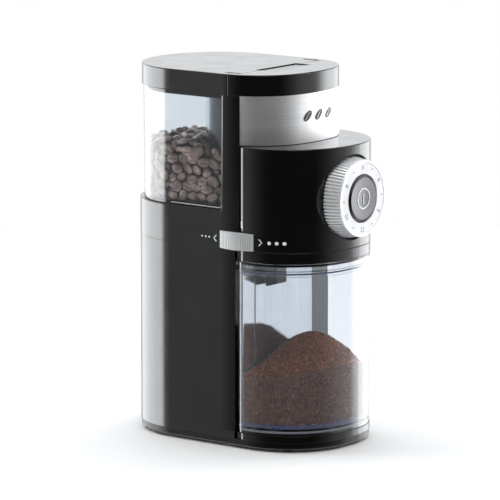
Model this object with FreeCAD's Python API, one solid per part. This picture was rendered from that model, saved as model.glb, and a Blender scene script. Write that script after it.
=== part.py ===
import FreeCAD, Part
import math
import os

os.makedirs("parts", exist_ok=True)

V = FreeCAD.Vector

# ---------------------------------------------------------------------------
# Burr coffee grinder. Millimetres. X = 0 is the plane of symmetry, the front
# (dial and grounds container) faces -Y, +Z is up and Z = 0 is the table.
# ---------------------------------------------------------------------------

# Plan outlines: half width, then for the front and the rear end the place
# where the flat side ends, the corner radius and the radius of the end arc.
BODY = (52.7, (-34.0, 48.0, 130.6), (31.8, 50.3, 120.2))
TOP = (51.2, (-12.8, 39.9, 105.6), (31.8, 49.0, 119.2))
GLASS_TOP = (50.9, (-12.8, 39.9, 105.6), (31.8, 46.8, 110.0))
GLASS_FOOT = (51.2, (-12.8, 39.9, 105.6), (31.8, 45.0, 105.0))

# Heights.
FOOT_HEIGHT = 1.5
BASE_TOP = 6.5
SHELF_TOP = 11.0
CONTAINER_RIM = 121.5
CONTAINER_TOP = 126.3
DRUM_BOTTOM = 126.8
SEAM = 134.1
COLLAR_TOP = 159.3
DRUM_TOP = 203.0
BAND_TOP = 236.0
TOTAL_HEIGHT = 250.0

WALL = 2.5
THIN_WALL = 2.0
GAP = 0.3

# Depth stations.
DRUM_BACK = -26.8
BAY_WALL = -23.5
CONTAINER_BACK = -25.2
BAND_BACK = -25.3
LID_SPLIT = -16.0
GLASS_FRONT = -12.8
COLUMN_RADIUS = 40.0
COLUMN_AXIS_Y = -13.0
COLUMN_REAR = 24.3
FLANK_RADIUS = 60.0
FLANK_TOP_RADIUS = 40.0
CORNER_DRUM = 4.0

# Drive: burr axis, motor axis, gears.
BURR_Y = 40.0
GEAR_MODULE = 1.0
GEAR_TEETH = 60
PINION_TEETH = 14
MOTOR_Y = BURR_Y - GEAR_MODULE * (GEAR_TEETH + PINION_TEETH) / 2.0
GEAR_BOTTOM = 104.0
GEAR_WIDTH = 8.0
SPINDLE_RADIUS = 4.0
PLATE_BOTTOM = 94.0
PLATE_THICKNESS = 3.0
MOTOR_RADIUS = 20.5
MOTOR_BOTTOM = 22.0
MOTOR_SHAFT_RADIUS = 2.5
RUNNING = 0.08

# Grinding chamber and burrs.
CHAMBER_BOTTOM = 126.0
CHAMBER_FLOOR = 129.0
CHAMBER_TOP = 138.4
CHAMBER_OUTER = 34.0
CHAMBER_INNER = 31.0
BURR_RADIUS = 24.0
BURR_BORE = 13.5
LOWER_BURR_TOP = 139.0
BURR_GAP = 0.7
BURR_THICKNESS = 5.0
RING_MODULE = 1.2
RING_TEETH = 60
RING_BOTTOM = 138.8
RING_TOP = 145.0
RACK_BOTTOM = 139.4
RACK_TOP = 143.4
POST_RADIUS_AT = 40.3

# Grind slider.
SLIDER_TRAVEL = 6.0
SLIDER_BACK = -12.6
SLIDER_FRONT = -39.6
SLIDER_BOTTOM = 134.6
SLIDER_HEIGHT = 11.2
SLIDER_FACE_RADIUS = 29.0
SLIDER_RIBS = 17

# Dial and start button.
DIAL_Z = 168.0
DIAL_POCKET = 28.6
DIAL_POCKET_Y = -77.0
DIAL_BACK_Y = -77.6
DIAL_FACE_Y = -90.2
DIAL_BACK_RADIUS = 27.6
DIAL_RADIUS = 25.3
DIAL_RIBS = 72
DIAL_RIB_DEPTH = 1.1
BUTTON_RADIUS = 15.3
BUTTON_TRAVEL = 2.5
BUTTON_FRONT_Y = -90.8
STEM_RADIUS = 2.5

# Discharge chute, width along X.
CHUTE_LEFT = -25.0
CHUTE_RIGHT = -15.6
CHUTE_FRONT = -38.0

SCREW_RADIUS = 1.5
BIG = 400.0


# ---------------------------------------------------------------------------
# Helpers
# ---------------------------------------------------------------------------

def save(name, shapes):
    """Write one node: a single solid or a group of separate solids."""
    solids = []
    for shape in shapes if isinstance(shapes, list) else [shapes]:
        solids.extend(shape.Solids)
    shape = solids[0] if len(solids) == 1 else Part.makeCompound(solids)
    shape.exportStep("parts/" + name + ".step")
    volume = sum(s.Volume for s in solids)
    valid = all(s.isValid() for s in solids)
    box = shape.BoundBox
    print("%-18s solids %d volume %.0f valid %s z %.1f..%.1f" % (name, len(solids), volume, valid, box.ZMin, box.ZMax))
    return shape


def arc(start, middle, end):
    return Part.Arc(start, middle, end).toShape()


def line(start, end):
    return Part.LineSegment(start, end).toShape()


def box(x0, x1, y0, y1, z0, z1):
    return Part.makeBox(x1 - x0, y1 - y0, z1 - z0, V(x0, y0, z0))


def cylinder(radius, x, y, z0, z1):
    return Part.makeCylinder(radius, z1 - z0, V(x, y, z0), V(0, 0, 1))


def cylinder_y(radius, x, z, y0, y1):
    return Part.makeCylinder(radius, y1 - y0, V(x, y0, z), V(0, 1, 0))


def tube(outer, inner, x, y, z0, z1):
    return cylinder(outer, x, y, z0, z1).cut(cylinder(inner, x, y, z0 - 1, z1 + 1))


def cone(radius0, radius1, x, y, z0, z1):
    return Part.makeCone(radius0, radius1, z1 - z0, V(x, y, z0), V(0, 0, 1))


def union(shapes):
    return shapes[0].multiFuse(shapes[1:]).removeSplitter()


def end_points(outline, end, inset):
    """Tangent point, corner middle and tip of the +X side of one rounded end."""
    half_width = outline[0]
    y_end, corner, reach = outline[end]
    sign = -1.0 if end == 1 else 1.0
    centre_x = half_width - corner
    centre_y = y_end - sign * math.sqrt((reach - corner) ** 2 - centre_x ** 2)
    angle = math.atan2(sign * (y_end - centre_y), centre_x)
    radius = corner - inset
    tangent = (centre_x + radius * math.cos(angle), y_end + sign * radius * math.sin(angle))
    middle = (centre_x + radius * math.cos(angle / 2), y_end + sign * radius * math.sin(angle / 2))
    tip_y = centre_y + sign * (reach - inset)
    return tangent, middle, tip_y


def outline_wire(outline, inset, z):
    """Closed plan outline: two flat sides, four corner arcs and two end arcs."""
    x = outline[0] - inset
    front_y = outline[1][0]
    rear_y = outline[2][0]
    front, front_mid, front_tip = end_points(outline, 1, inset)
    rear, rear_mid, rear_tip = end_points(outline, 2, inset)
    edges = [
        line(V(x, front_y, z), V(x, rear_y, z)),
        arc(V(x, rear_y, z), V(rear_mid[0], rear_mid[1], z), V(rear[0], rear[1], z)),
        arc(V(rear[0], rear[1], z), V(0, rear_tip, z), V(-rear[0], rear[1], z)),
        arc(V(-rear[0], rear[1], z), V(-rear_mid[0], rear_mid[1], z), V(-x, rear_y, z)),
        line(V(-x, rear_y, z), V(-x, front_y, z)),
        arc(V(-x, front_y, z), V(-front_mid[0], front_mid[1], z), V(-front[0], front[1], z)),
        arc(V(-front[0], front[1], z), V(0, front_tip, z), V(front[0], front[1], z)),
        arc(V(front[0], front[1], z), V(front_mid[0], front_mid[1], z), V(x, front_y, z)),
    ]
    return Part.Wire(edges)


def slab(outline, inset, z0, z1):
    return Part.Face(outline_wire(outline, inset, z0)).extrude(V(0, 0, z1 - z0))


def tapered(foot, foot_inset, head, head_inset, z0, z1):
    wires = [outline_wire(foot, foot_inset, z0), outline_wire(head, head_inset, z1)]
    return Part.makeLoft(wires, True, True)


def behind(y):
    return box(-BIG, BIG, y, BIG, -BIG, BIG)


def ahead(y):
    return box(-BIG, BIG, -BIG, y, -BIG, BIG)


def upright_edges(shape, y):
    """Vertical edges that stand at one depth, away from the middle."""
    found = []
    for edge in shape.Edges:
        centre = edge.BoundBox.Center
        upright = edge.BoundBox.XLength < 0.01 and edge.BoundBox.YLength < 0.01
        if upright and abs(centre.y - y) < GAP and abs(centre.x) > COLUMN_RADIUS:
            found.append(edge)
    return found


def level_edges(shape, z):
    """Horizontal edges at one height, on the outer wire of the flat face there."""
    found = []
    for face in shape.Faces:
        flat = face.BoundBox.ZLength < 0.001 and abs(face.BoundBox.ZMax - z) < 0.001
        if flat:
            found.extend(face.OuterWire.Edges)
    return found


def front_block(inset, back, corner, z0, z1):
    """D-shaped block of the front volume with rounded rear corners."""
    block = slab(BODY, inset, z0, z1).common(ahead(back))
    return block.makeFillet(corner, upright_edges(block, back))


def side_relief(z0, z1):
    """Two slivers that the flanks lose where they run in behind the drum."""
    half_width = BODY[0]
    radius = FLANK_RADIUS
    start_y = GLASS_FRONT
    end_y = DRUM_BACK - 1.0
    depth = radius - math.sqrt(radius ** 2 - (end_y - start_y) ** 2)
    mid_y = (start_y + end_y) / 2
    mid_depth = radius - math.sqrt(radius ** 2 - (mid_y - start_y) ** 2)
    slivers = []
    for side in (-1.0, 1.0):
        inner = V(side * (half_width - depth), end_y, z0)
        start = V(side * half_width, start_y, z0)
        outer_start = V(side * (half_width + 1), start_y, z0)
        outer_end = V(side * (half_width + 1), end_y, z0)
        middle = V(side * (half_width - mid_depth), mid_y, z0)
        wire = Part.Wire([
            arc(start, middle, inner),
            line(inner, outer_end),
            line(outer_end, outer_start),
            line(outer_start, start),
        ])
        slivers.append(Part.Face(wire).extrude(V(0, 0, z1 - z0)))
    return slivers


def gear_wire(module, teeth, play, turn, x, y, z):
    """Outline of an involute spur gear; play narrows each tooth."""
    pressure = math.radians(20)
    pitch = module * teeth / 2.0
    base = pitch * math.cos(pressure)
    tip = pitch + 0.85 * module
    root = pitch - 1.15 * module
    half_tooth = math.pi / (2 * teeth) - play / (2 * pitch)
    involute_at_pitch = math.tan(pressure) - pressure
    start = max(base, root + 0.05)
    points = []
    for tooth in range(teeth):
        axis = turn + 2 * math.pi * tooth / teeth
        flank = []
        for step in range(4):
            radius = start + (tip - start) * step / 3.0
            unwound = math.acos(min(1.0, base / radius))
            involute = math.tan(unwound) - unwound
            flank.append((radius, half_tooth + involute_at_pitch - involute))
        half_root = flank[0][1]
        points.append((root, axis - half_root))
        points.extend((radius, axis - half) for radius, half in flank)
        points.extend((radius, axis + half) for radius, half in reversed(flank))
        points.append((root, axis + half_root))
    corners = [V(x + r * math.cos(a), y + r * math.sin(a), z) for r, a in points]
    corners.append(corners[0])
    return Part.makePolygon(corners)


def gear(module, teeth, play, turn, x, y, z0, z1):
    face = Part.Face(gear_wire(module, teeth, play, turn, x, y, z0))
    return face.extrude(V(0, 0, z1 - z0))


def screw(x, y, z_seat, length, up=True, head_radius=2.8, head_height=1.8):
    """Pan-head screw; up means that the head is below and the shank rises."""
    way = 1.0 if up else -1.0
    shank = Part.makeCylinder(SCREW_RADIUS, length, V(x, y, z_seat), V(0, 0, way))
    head = Part.makeCylinder(head_radius, head_height, V(x, y, z_seat), V(0, 0, -way))
    slot_z = z_seat - way * head_height
    slot = box(x - 2.0, x + 2.0, y - 0.35, y + 0.35, slot_z - 0.6, slot_z + 0.6)
    return union([shank, head]).cut(slot)


def ring_points(radius, count, start_degrees, x, y):
    places = []
    for step in range(count):
        angle = math.radians(start_degrees + 360.0 * step / count)
        places.append((x + radius * math.cos(angle), y + radius * math.sin(angle)))
    return places


# ---------------------------------------------------------------------------
# Base
# ---------------------------------------------------------------------------

FEET = [(0.0, 0.0), (-36.0, -56.0), (36.0, -56.0), (-36.0, 56.0), (36.0, 56.0)]
BASE_SCREWS = [(-43.0, -14.0), (43.0, -14.0), (-38.0, 46.0), (38.0, 46.0)]
FOOT_RADIUS = 6.0
BOSS_RADIUS = 4.0
VENT_ROWS = 7
VENT_PITCH = 5.0
VENT_MIDDLE = 18.0


def make_base():
    plate = slab(BODY, 0.4, FOOT_HEIGHT, BASE_TOP)
    plate = plate.makeChamfer(1.2, level_edges(plate, FOOT_HEIGHT))
    pocket = slab(BODY, 3.0, FOOT_HEIGHT + WALL, BASE_TOP + 1)
    pads = [cylinder(FOOT_RADIUS + 2.5, x, y, FOOT_HEIGHT, BASE_TOP) for x, y in FEET]
    bosses = [cylinder(BOSS_RADIUS, x, y, FOOT_HEIGHT, BASE_TOP) for x, y in BASE_SCREWS]
    plate = union([plate.cut(pocket)] + pads + bosses)
    holes = [cylinder(FOOT_RADIUS, x, y, 0, 3.0) for x, y in FEET]
    holes += [cylinder(SCREW_RADIUS + 0.1, x, y, 0, BASE_TOP + 1) for x, y in BASE_SCREWS]
    holes += [cylinder(3.0, x, y, 0, 4.0) for x, y in BASE_SCREWS]
    vents = []
    for row in range(VENT_ROWS):
        y = MOTOR_Y + VENT_PITCH * (row - (VENT_ROWS - 1) / 2.0)
        for middle in (-VENT_MIDDLE, VENT_MIDDLE):
            vents.append(box(middle - 7.0, middle + 7.0, y - 1.0, y + 1.0, 0, BASE_TOP + 1))
    save("base_plate", plate.cut(Part.makeCompound(holes + vents)))
    feet = []
    for x, y in FEET:
        foot = cylinder(FOOT_RADIUS, x, y, 0, 3.0)
        feet.append(foot.makeChamfer(0.4, level_edges(foot, 0)))
    save("rubber_feet", feet)
    save("base_screws", [screw(x, y, 4.0, 14.0) for x, y in BASE_SCREWS])


# ---------------------------------------------------------------------------
# Lower housing with the container bay
# ---------------------------------------------------------------------------

LEDGES = [(-1.0, -14.0), (1.0, -14.0), (-1.0, 30.0), (1.0, 30.0)]
LEDGE_X = 46.0
GLAND_Z = 15.0
LINER_HALF = 31.5
GLAND_RADIUS = 5.5
CORD_RADIUS = 3.2
CHUTE_BOTTOM = 127.0
CHUTE_TOP = 138.2


def make_lower_housing():
    shell = slab(BODY, 0, BASE_TOP, SEAM).common(behind(BAY_WALL))
    hollow = slab(BODY, WALL, BASE_TOP - 1, SEAM + 1).common(behind(BAY_WALL + WALL))
    shell = shell.cut(hollow)
    shelf = front_block(0, DRUM_BACK, CORNER_DRUM, BASE_TOP, SHELF_TOP)
    neck = box(-51.0, 51.0, DRUM_BACK - 9.0, BAY_WALL + 1.0, BASE_TOP, SHELF_TOP)
    shelf_hollow = slab(BODY, WALL, BASE_TOP - 1, SHELF_TOP - WALL).common(ahead(BAY_WALL + 1))
    ledges = []
    for side, y in LEDGES:
        inner_x = side * (LEDGE_X - 3.5)
        outer_x = side * (BODY[0] - 1.0)
        x0 = min(inner_x, outer_x)
        x1 = max(inner_x, outer_x)
        ledges.append(box(x0, x1, y - 4.0, y + 4.0, PLATE_BOTTOM - 10.0, PLATE_BOTTOM))
    posts = []
    for x, y in BASE_SCREWS:
        posts.append(cylinder(BOSS_RADIUS, x, y, BASE_TOP, 24.0))
        wall_x = 51.0 if x > 0 else -51.0
        posts.append(box(min(x, wall_x), max(x, wall_x), y - 1.0, y + 1.0, BASE_TOP, 24.0))
    shell = union([shell, union([shelf, neck]).cut(shelf_hollow)] + ledges + posts)
    trim = slab(BODY, 0, 0, SEAM + 5)
    shell = shell.common(trim)
    cuts = side_relief(SHELF_TOP, SEAM + 1)
    cuts += [cylinder(SCREW_RADIUS, x, y, 0, 22.0) for x, y in BASE_SCREWS]
    cuts += [cylinder(SCREW_RADIUS, s * LEDGE_X, y, PLATE_BOTTOM - 8.0, PLATE_BOTTOM + 1) for s, y in LEDGES]
    cuts.append(cylinder_y(GLAND_RADIUS, 0, GLAND_Z, 60.0, 90.0))
    cuts.append(box(CHUTE_LEFT - 0.5, CHUTE_RIGHT + 0.5, BAY_WALL - 5, BAY_WALL + 5, CHUTE_BOTTOM - 0.5, SEAM + 1))
    shell = shell.cut(Part.makeCompound(cuts))
    save("lower_housing", shell)

    liner = box(-LINER_HALF, LINER_HALF, BAY_WALL - 0.8, BAY_WALL, SHELF_TOP + 1.0, DRUM_BOTTOM - 1.5)
    save("bay_liner", liner.makeFillet(3.0, [e for e in liner.Edges if e.BoundBox.YLength > 0.5 and e.Length < 1]))


def make_cord_inlet():
    rear_y = end_points(BODY, 2, 0)[2]
    gland = cylinder_y(GLAND_RADIUS, 0, GLAND_Z, rear_y - 6.0, rear_y + 0.6)
    flange_in = cylinder_y(GLAND_RADIUS + 1.8, 0, GLAND_Z, rear_y - 6.0, rear_y - WALL - 0.6)
    bore = cylinder_y(CORD_RADIUS, 0, GLAND_Z, rear_y - 10.0, rear_y + 5.0)
    save("cord_gland", union([gland, flange_in]).cut(bore))

    block_y = rear_y - 22.0
    clamp = box(-9.0, 9.0, block_y, block_y + 8.0, FOOT_HEIGHT + WALL, GLAND_Z + 8.0)
    groove = cylinder_y(CORD_RADIUS, 0, GLAND_Z, block_y - 5.0, block_y + 12.0)
    save("cord_clamp", clamp.cut(groove))


# ---------------------------------------------------------------------------
# Upper housing: collar under the hopper and the column that carries the cap
# ---------------------------------------------------------------------------

def column_section(x, radius, z):
    """Plan section of the column flanks, running in towards the drum."""
    back = GLASS_FRONT
    front = DRUM_BACK + GAP
    run = front - back
    depth = radius - math.sqrt(radius ** 2 - run ** 2)
    mid_depth = radius - math.sqrt(radius ** 2 - (run / 2) ** 2)
    return Part.Wire([
        arc(V(-x, back, z), V(-x + mid_depth, back + run / 2, z), V(-x + depth, front, z)),
        line(V(-x + depth, front, z), V(x - depth, front, z)),
        arc(V(x - depth, front, z), V(x - mid_depth, back + run / 2, z), V(x, back, z)),
        line(V(x, back, z), V(-x, back, z)),
    ])


def slider_slot(inner_x):
    """Slot in the left flank through which the grind slider's stem reaches."""
    middle = (SLIDER_BACK + SLIDER_FRONT) / 2
    reach = SLIDER_TRAVEL + 4.0
    return box(-BODY[0] - 1, inner_x, middle - reach, middle + reach, RACK_BOTTOM - 0.4, RACK_TOP + 0.4)


def column_bulge(grow, z0, z1):
    """Rounded rear of the column, flattened where the hopper throat passes."""
    round_back = cylinder(COLUMN_RADIUS + grow, 0, COLUMN_AXIS_Y, z0, z1)
    return round_back.common(ahead(COLUMN_REAR + grow))


def make_upper_housing():
    collar = slab(BODY, 0, SEAM, COLLAR_TOP).common(behind(GLASS_FRONT))
    top_edges = [e for e in level_edges(collar, COLLAR_TOP) if e.BoundBox.YMax > GLASS_FRONT + 1]
    collar = collar.makeFillet(0.8, top_edges)
    flank_section = column_section(BODY[0], FLANK_RADIUS, SEAM)
    flank_root = Part.Face(flank_section).extrude(V(0, 0, COLLAR_TOP - SEAM))
    collar = union([collar, flank_root])
    hollow = slab(BODY, WALL, SEAM - 1, COLLAR_TOP - WALL).common(behind(GLASS_FRONT - 2.0))
    throughway = box(-48.5, 48.5, DRUM_BACK - 1, GLASS_FRONT - 1.0, SEAM - 1, COLLAR_TOP - WALL)
    throat_way = cylinder(36.5, 0, BURR_Y - 1.0, COLLAR_TOP - 5, COLLAR_TOP + 1)
    collar = collar.cut(union([hollow, throughway])).cut(throat_way)

    flank_foot = column_section(BODY[0], FLANK_RADIUS, COLLAR_TOP)
    flank_head = column_section(TOP[0], FLANK_TOP_RADIUS, BAND_TOP)
    flank = Part.makeLoft([flank_foot, flank_head], True, True)
    bulge = column_bulge(0, COLLAR_TOP - WALL, BAND_TOP).common(behind(COLUMN_AXIS_Y - 8.0))
    front = slab(TOP, 0.9, DRUM_TOP + 0.2, BAND_TOP).common(ahead(DRUM_BACK + 3.0))
    column = union([flank, bulge, front])

    core = column_bulge(-WALL, COLLAR_TOP - 4, BAND_TOP + 1).common(behind(COLUMN_AXIS_Y - 9.0))
    middle = box(-48.0, 48.0, DRUM_BACK - 1, GLASS_FRONT - WALL, COLLAR_TOP - 4, BAND_TOP + 1)
    middle = middle.common(slab(TOP, 0.9 + WALL, COLLAR_TOP - 4, BAND_TOP + 1))
    front_core = slab(TOP, 0.9 + WALL, DRUM_TOP - 1, BAND_TOP + 1).common(ahead(DRUM_BACK + 4.0))
    column = column.cut(union([core, middle, front_core]))
    column = column.cut(box(-48, 48, DRUM_BACK - 1, DRUM_BACK + 1, COLLAR_TOP, DRUM_TOP + 0.2))
    rebate = slab(TOP, -1.0, DRUM_TOP + 0.2, BAND_TOP + 1).cut(slab(TOP, 0.9, DRUM_TOP, BAND_TOP + 2))
    column = column.cut(rebate.common(ahead(BAND_BACK + 0.1)))
    # Lips that close the flanks behind the rounded rear corners of the drum.
    lips = []
    for side in (-1.0, 1.0):
        x0 = min(side * 43.5, side * 48.6)
        x1 = max(side * 43.5, side * 48.6)
        lips.append(box(x0, x1, DRUM_BACK + 0.3, DRUM_BACK + 2.8, SEAM, DRUM_TOP + 0.2))

    housing = union([collar, column] + lips)
    cable_way = box(-30, 30, DRUM_BACK - 1, COLUMN_AXIS_Y + 10, COLLAR_TOP - 5, COLLAR_TOP + 1)
    housing = housing.cut(cable_way)
    save("upper_housing", housing.cut(slider_slot(-43.0)))


def make_steel_band():
    outer = slab(TOP, 0, DRUM_TOP + 0.3, BAND_TOP)
    inner = slab(TOP, 0.8, DRUM_TOP, BAND_TOP + 1)
    save("steel_band", outer.cut(inner).common(ahead(BAND_BACK)))


# ---------------------------------------------------------------------------
# Front drum: houses the dose timer, the start switch and the control board
# ---------------------------------------------------------------------------

def make_front_housing():
    block = front_block(0, DRUM_BACK, CORNER_DRUM, SEAM + 0.15, DRUM_TOP)
    rim = [e for e in level_edges(block, DRUM_TOP) if e.BoundBox.YMin < DRUM_BACK - 0.2]
    block = block.makeFillet(0.8, rim)
    inner = front_block(WALL, DRUM_BACK + 2, CORNER_DRUM - WALL, SEAM - 1, DRUM_TOP - WALL)
    pocket_wall = cylinder_y(DIAL_POCKET + 2.0, 0, DIAL_Z, DIAL_POCKET_Y, DIAL_POCKET_Y + WALL)
    pocket_rim = cylinder_y(DIAL_POCKET + 2.0, 0, DIAL_Z, -BIG, DIAL_POCKET_Y + WALL)
    pocket_rim = pocket_rim.common(slab(BODY, 0.2, SEAM, DRUM_TOP))
    shell = union([block.cut(inner), pocket_rim, pocket_wall])
    pocket = cylinder_y(DIAL_POCKET, 0, DIAL_Z, -BIG, DIAL_POCKET_Y)
    shaft_hole = cylinder_y(7.0, 0, DIAL_Z, -BIG, DIAL_POCKET_Y + 10)
    shell = shell.cut(pocket).cut(shaft_hole).cut(slider_slot(-45.0))
    column_way = slab(TOP, 0.9 + WALL, DRUM_TOP - 5, DRUM_TOP + 1).common(ahead(DRUM_BACK + 1))
    shell = shell.cut(column_way)
    save("front_housing", shell)

    under = front_block(0, DRUM_BACK, CORNER_DRUM, DRUM_BOTTOM, SEAM - 0.15)
    neck = box(-50.5, 50.5, DRUM_BACK - 9, BAY_WALL - 0.2, DRUM_BOTTOM, SEAM - 0.15)
    under = union([under, neck])
    hollow = front_block(WALL, DRUM_BACK - WALL, CORNER_DRUM - WALL, DRUM_BOTTOM + WALL, SEAM + 1)
    open_back = box(-46, 46, DRUM_BACK - 9, BAY_WALL, DRUM_BOTTOM + WALL, SEAM + 1)
    outlet = box(CHUTE_LEFT - 0.5, CHUTE_RIGHT + 0.5, CHUTE_FRONT - 0.5, BAY_WALL + 1, DRUM_BOTTOM - 1, SEAM + 1)
    save("drum_underside", under.cut(hollow).cut(open_back).cut(outlet))


# ---------------------------------------------------------------------------
# Top: cap, hopper lid and hopper
# ---------------------------------------------------------------------------

TONGUE_HALF = 42.0
TONGUE_FRONT = -21.5
TONGUE_END_GAP = 2.5
LID_GAP = 0.55
END_GROOVE_REAR = -9.0
END_GROOVE_DEPTH = 1.0
SCOOP_HALF = 22.5
SCOOP_REAR = -18.0
SCOOP_FRONT = -31.0
SCOOP_DEPTH = 1.3
RIM_FILLET = 0.7


def lid_area(grow, end_gap, z0, z1):
    """Plan area of the hopper lid, with the tongue that reaches into the cap."""
    rear = behind(LID_SPLIT - grow)
    reach = TONGUE_HALF + end_gap
    tongue = box(-reach, reach, TONGUE_FRONT - grow, 0, -BIG, BIG)
    notch = box(-SCOOP_HALF + grow, SCOOP_HALF - grow, -BIG, SCOOP_REAR - grow, -BIG, BIG)
    area = rear.fuse(tongue).cut(notch)
    return area.common(box(-BIG, BIG, -BIG, BIG, z0, z1))


def finger_scoop():
    """Sloping recess in the cap that leads a finger under the lid's front edge."""
    floor_z = TOTAL_HEIGHT - SCOOP_DEPTH
    half = SCOOP_HALF - LID_GAP
    rear = SCOOP_REAR + 0.5
    corners = [V(-half, rear, floor_z), V(-half, SCOOP_FRONT, TOTAL_HEIGHT + 0.01)]
    corners.append(V(-half, SCOOP_FRONT, TOTAL_HEIGHT + 1))
    corners.append(V(-half, rear, TOTAL_HEIGHT + 1))
    side = Part.Face(Part.makePolygon(corners + corners[:1]))
    return side.extrude(V(2 * half, 0, 0))


def make_top():
    block = slab(TOP, 0, BAND_TOP, TOTAL_HEIGHT)
    block = block.makeFillet(RIM_FILLET, level_edges(block, TOTAL_HEIGHT))

    lid_zone = lid_area(0, 0, BAND_TOP - 1, TOTAL_HEIGHT + 1)
    cap_zone = lid_area(LID_GAP, TONGUE_END_GAP, BAND_TOP - 1, TOTAL_HEIGHT + 1)
    cap = block.cut(cap_zone)
    cap_core = slab(TOP, WALL, BAND_TOP - 1, TOTAL_HEIGHT - WALL)
    keep = lid_area(LID_GAP + WALL, TONGUE_END_GAP + WALL, BAND_TOP - 2, TOTAL_HEIGHT + 2)
    cap = cap.cut(cap_core.cut(keep))
    save("top_cap", cap.cut(finger_scoop()))

    lid = block.common(lid_zone)
    lid = lid.cut(slab(TOP, THIN_WALL, BAND_TOP - 1, TOTAL_HEIGHT - THIN_WALL).common(
        lid_area(-THIN_WALL, -THIN_WALL, BAND_TOP - 2, TOTAL_HEIGHT + 2)))
    top_z = TOTAL_HEIGHT - THIN_WALL
    plug_outer = hopper_area(2.9, BAND_TOP - 3.0, top_z + 0.5)
    plug_inner = hopper_area(4.7, BAND_TOP - 4.0, top_z)
    plug = plug_outer.cut(plug_inner)
    groove = hopper_area(2.0, BAND_TOP - 1.8, BAND_TOP - 0.6)
    groove = groove.cut(hopper_area(3.6, BAND_TOP - 5.0, BAND_TOP + 5.0))
    lid = union([lid, plug]).cut(groove)
    groove_floor = TOTAL_HEIGHT - END_GROOVE_DEPTH
    for x0 in (TONGUE_HALF, -TONGUE_HALF - TONGUE_END_GAP):
        x1 = x0 + TONGUE_END_GAP
        lid = lid.cut(box(x0, x1, LID_SPLIT - 1, END_GROOVE_REAR, groove_floor, TOTAL_HEIGHT + 1))
    save("hopper_lid", lid)

    seal = hopper_area(2.35, BAND_TOP - 1.8, BAND_TOP - 0.6)
    seal = seal.cut(hopper_area(3.6, BAND_TOP - 5.0, BAND_TOP + 5.0))
    save("lid_seal", seal)


def hopper_area(inset, z0, z1):
    """Plan area of the hopper behind the column, offset inwards."""
    area = tapered(GLASS_FOOT, inset, GLASS_TOP, inset, COLLAR_TOP + 0.3, BAND_TOP)
    if z1 > BAND_TOP:
        area = slab(GLASS_TOP, inset, z0, z1)
    area = area.common(box(-BIG, BIG, GLASS_FRONT + GAP + inset, BIG, z0, z1))
    return area.cut(column_bulge(GAP + inset, z0 - 1, z1 + 1))


THROAT_RADIUS = 15.0
THROAT_BOTTOM = 151.6


def make_hopper():
    foot_z = COLLAR_TOP + 0.3
    outer = tapered(GLASS_FOOT, 0, GLASS_TOP, 0, foot_z, BAND_TOP - 0.2)
    outer = outer.common(behind(GLASS_FRONT + GAP))
    outer = outer.cut(column_bulge(GAP, 0, BIG))
    inner = tapered(GLASS_FOOT, THIN_WALL, GLASS_TOP, THIN_WALL, foot_z, BAND_TOP - 0.2)
    inner = inner.common(behind(GLASS_FRONT + GAP + THIN_WALL))
    inner = inner.cut(column_bulge(GAP + THIN_WALL, 0, BIG))
    inner = inner.common(box(-BIG, BIG, -BIG, BIG, foot_z + THIN_WALL, BIG))
    walls = outer.cut(inner)
    funnel_top = 33.0
    funnel = cone(THROAT_RADIUS, funnel_top, 0, BURR_Y, THROAT_BOTTOM + 2, foot_z + THIN_WALL)
    clear_of_column = column_bulge(GAP, 0, BIG)
    funnel = funnel.cut(clear_of_column)
    throat = cylinder(THROAT_RADIUS, 0, BURR_Y, THROAT_BOTTOM, THROAT_BOTTOM + 3)
    bowl = union([walls, funnel, throat])
    funnel_in = cone(THROAT_RADIUS - THIN_WALL, funnel_top - THIN_WALL, 0, BURR_Y,
                     THROAT_BOTTOM + 2, foot_z + THIN_WALL + 0.01)
    funnel_in = funnel_in.cut(column_bulge(GAP + THIN_WALL, 0, BIG))
    throat_in = cylinder(THROAT_RADIUS - THIN_WALL, 0, BURR_Y, THROAT_BOTTOM - 1, THROAT_BOTTOM + 4)
    save("hopper_bowl", bowl.cut(funnel_in).cut(throat_in))


# ---------------------------------------------------------------------------
# Grounds container
# ---------------------------------------------------------------------------

CONTAINER_BOTTOM = SHELF_TOP + 0.3
CONTAINER_INSET = 0.5
CONTAINER_WALL = 2.2
CONTAINER_FLOOR = 4.0


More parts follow.
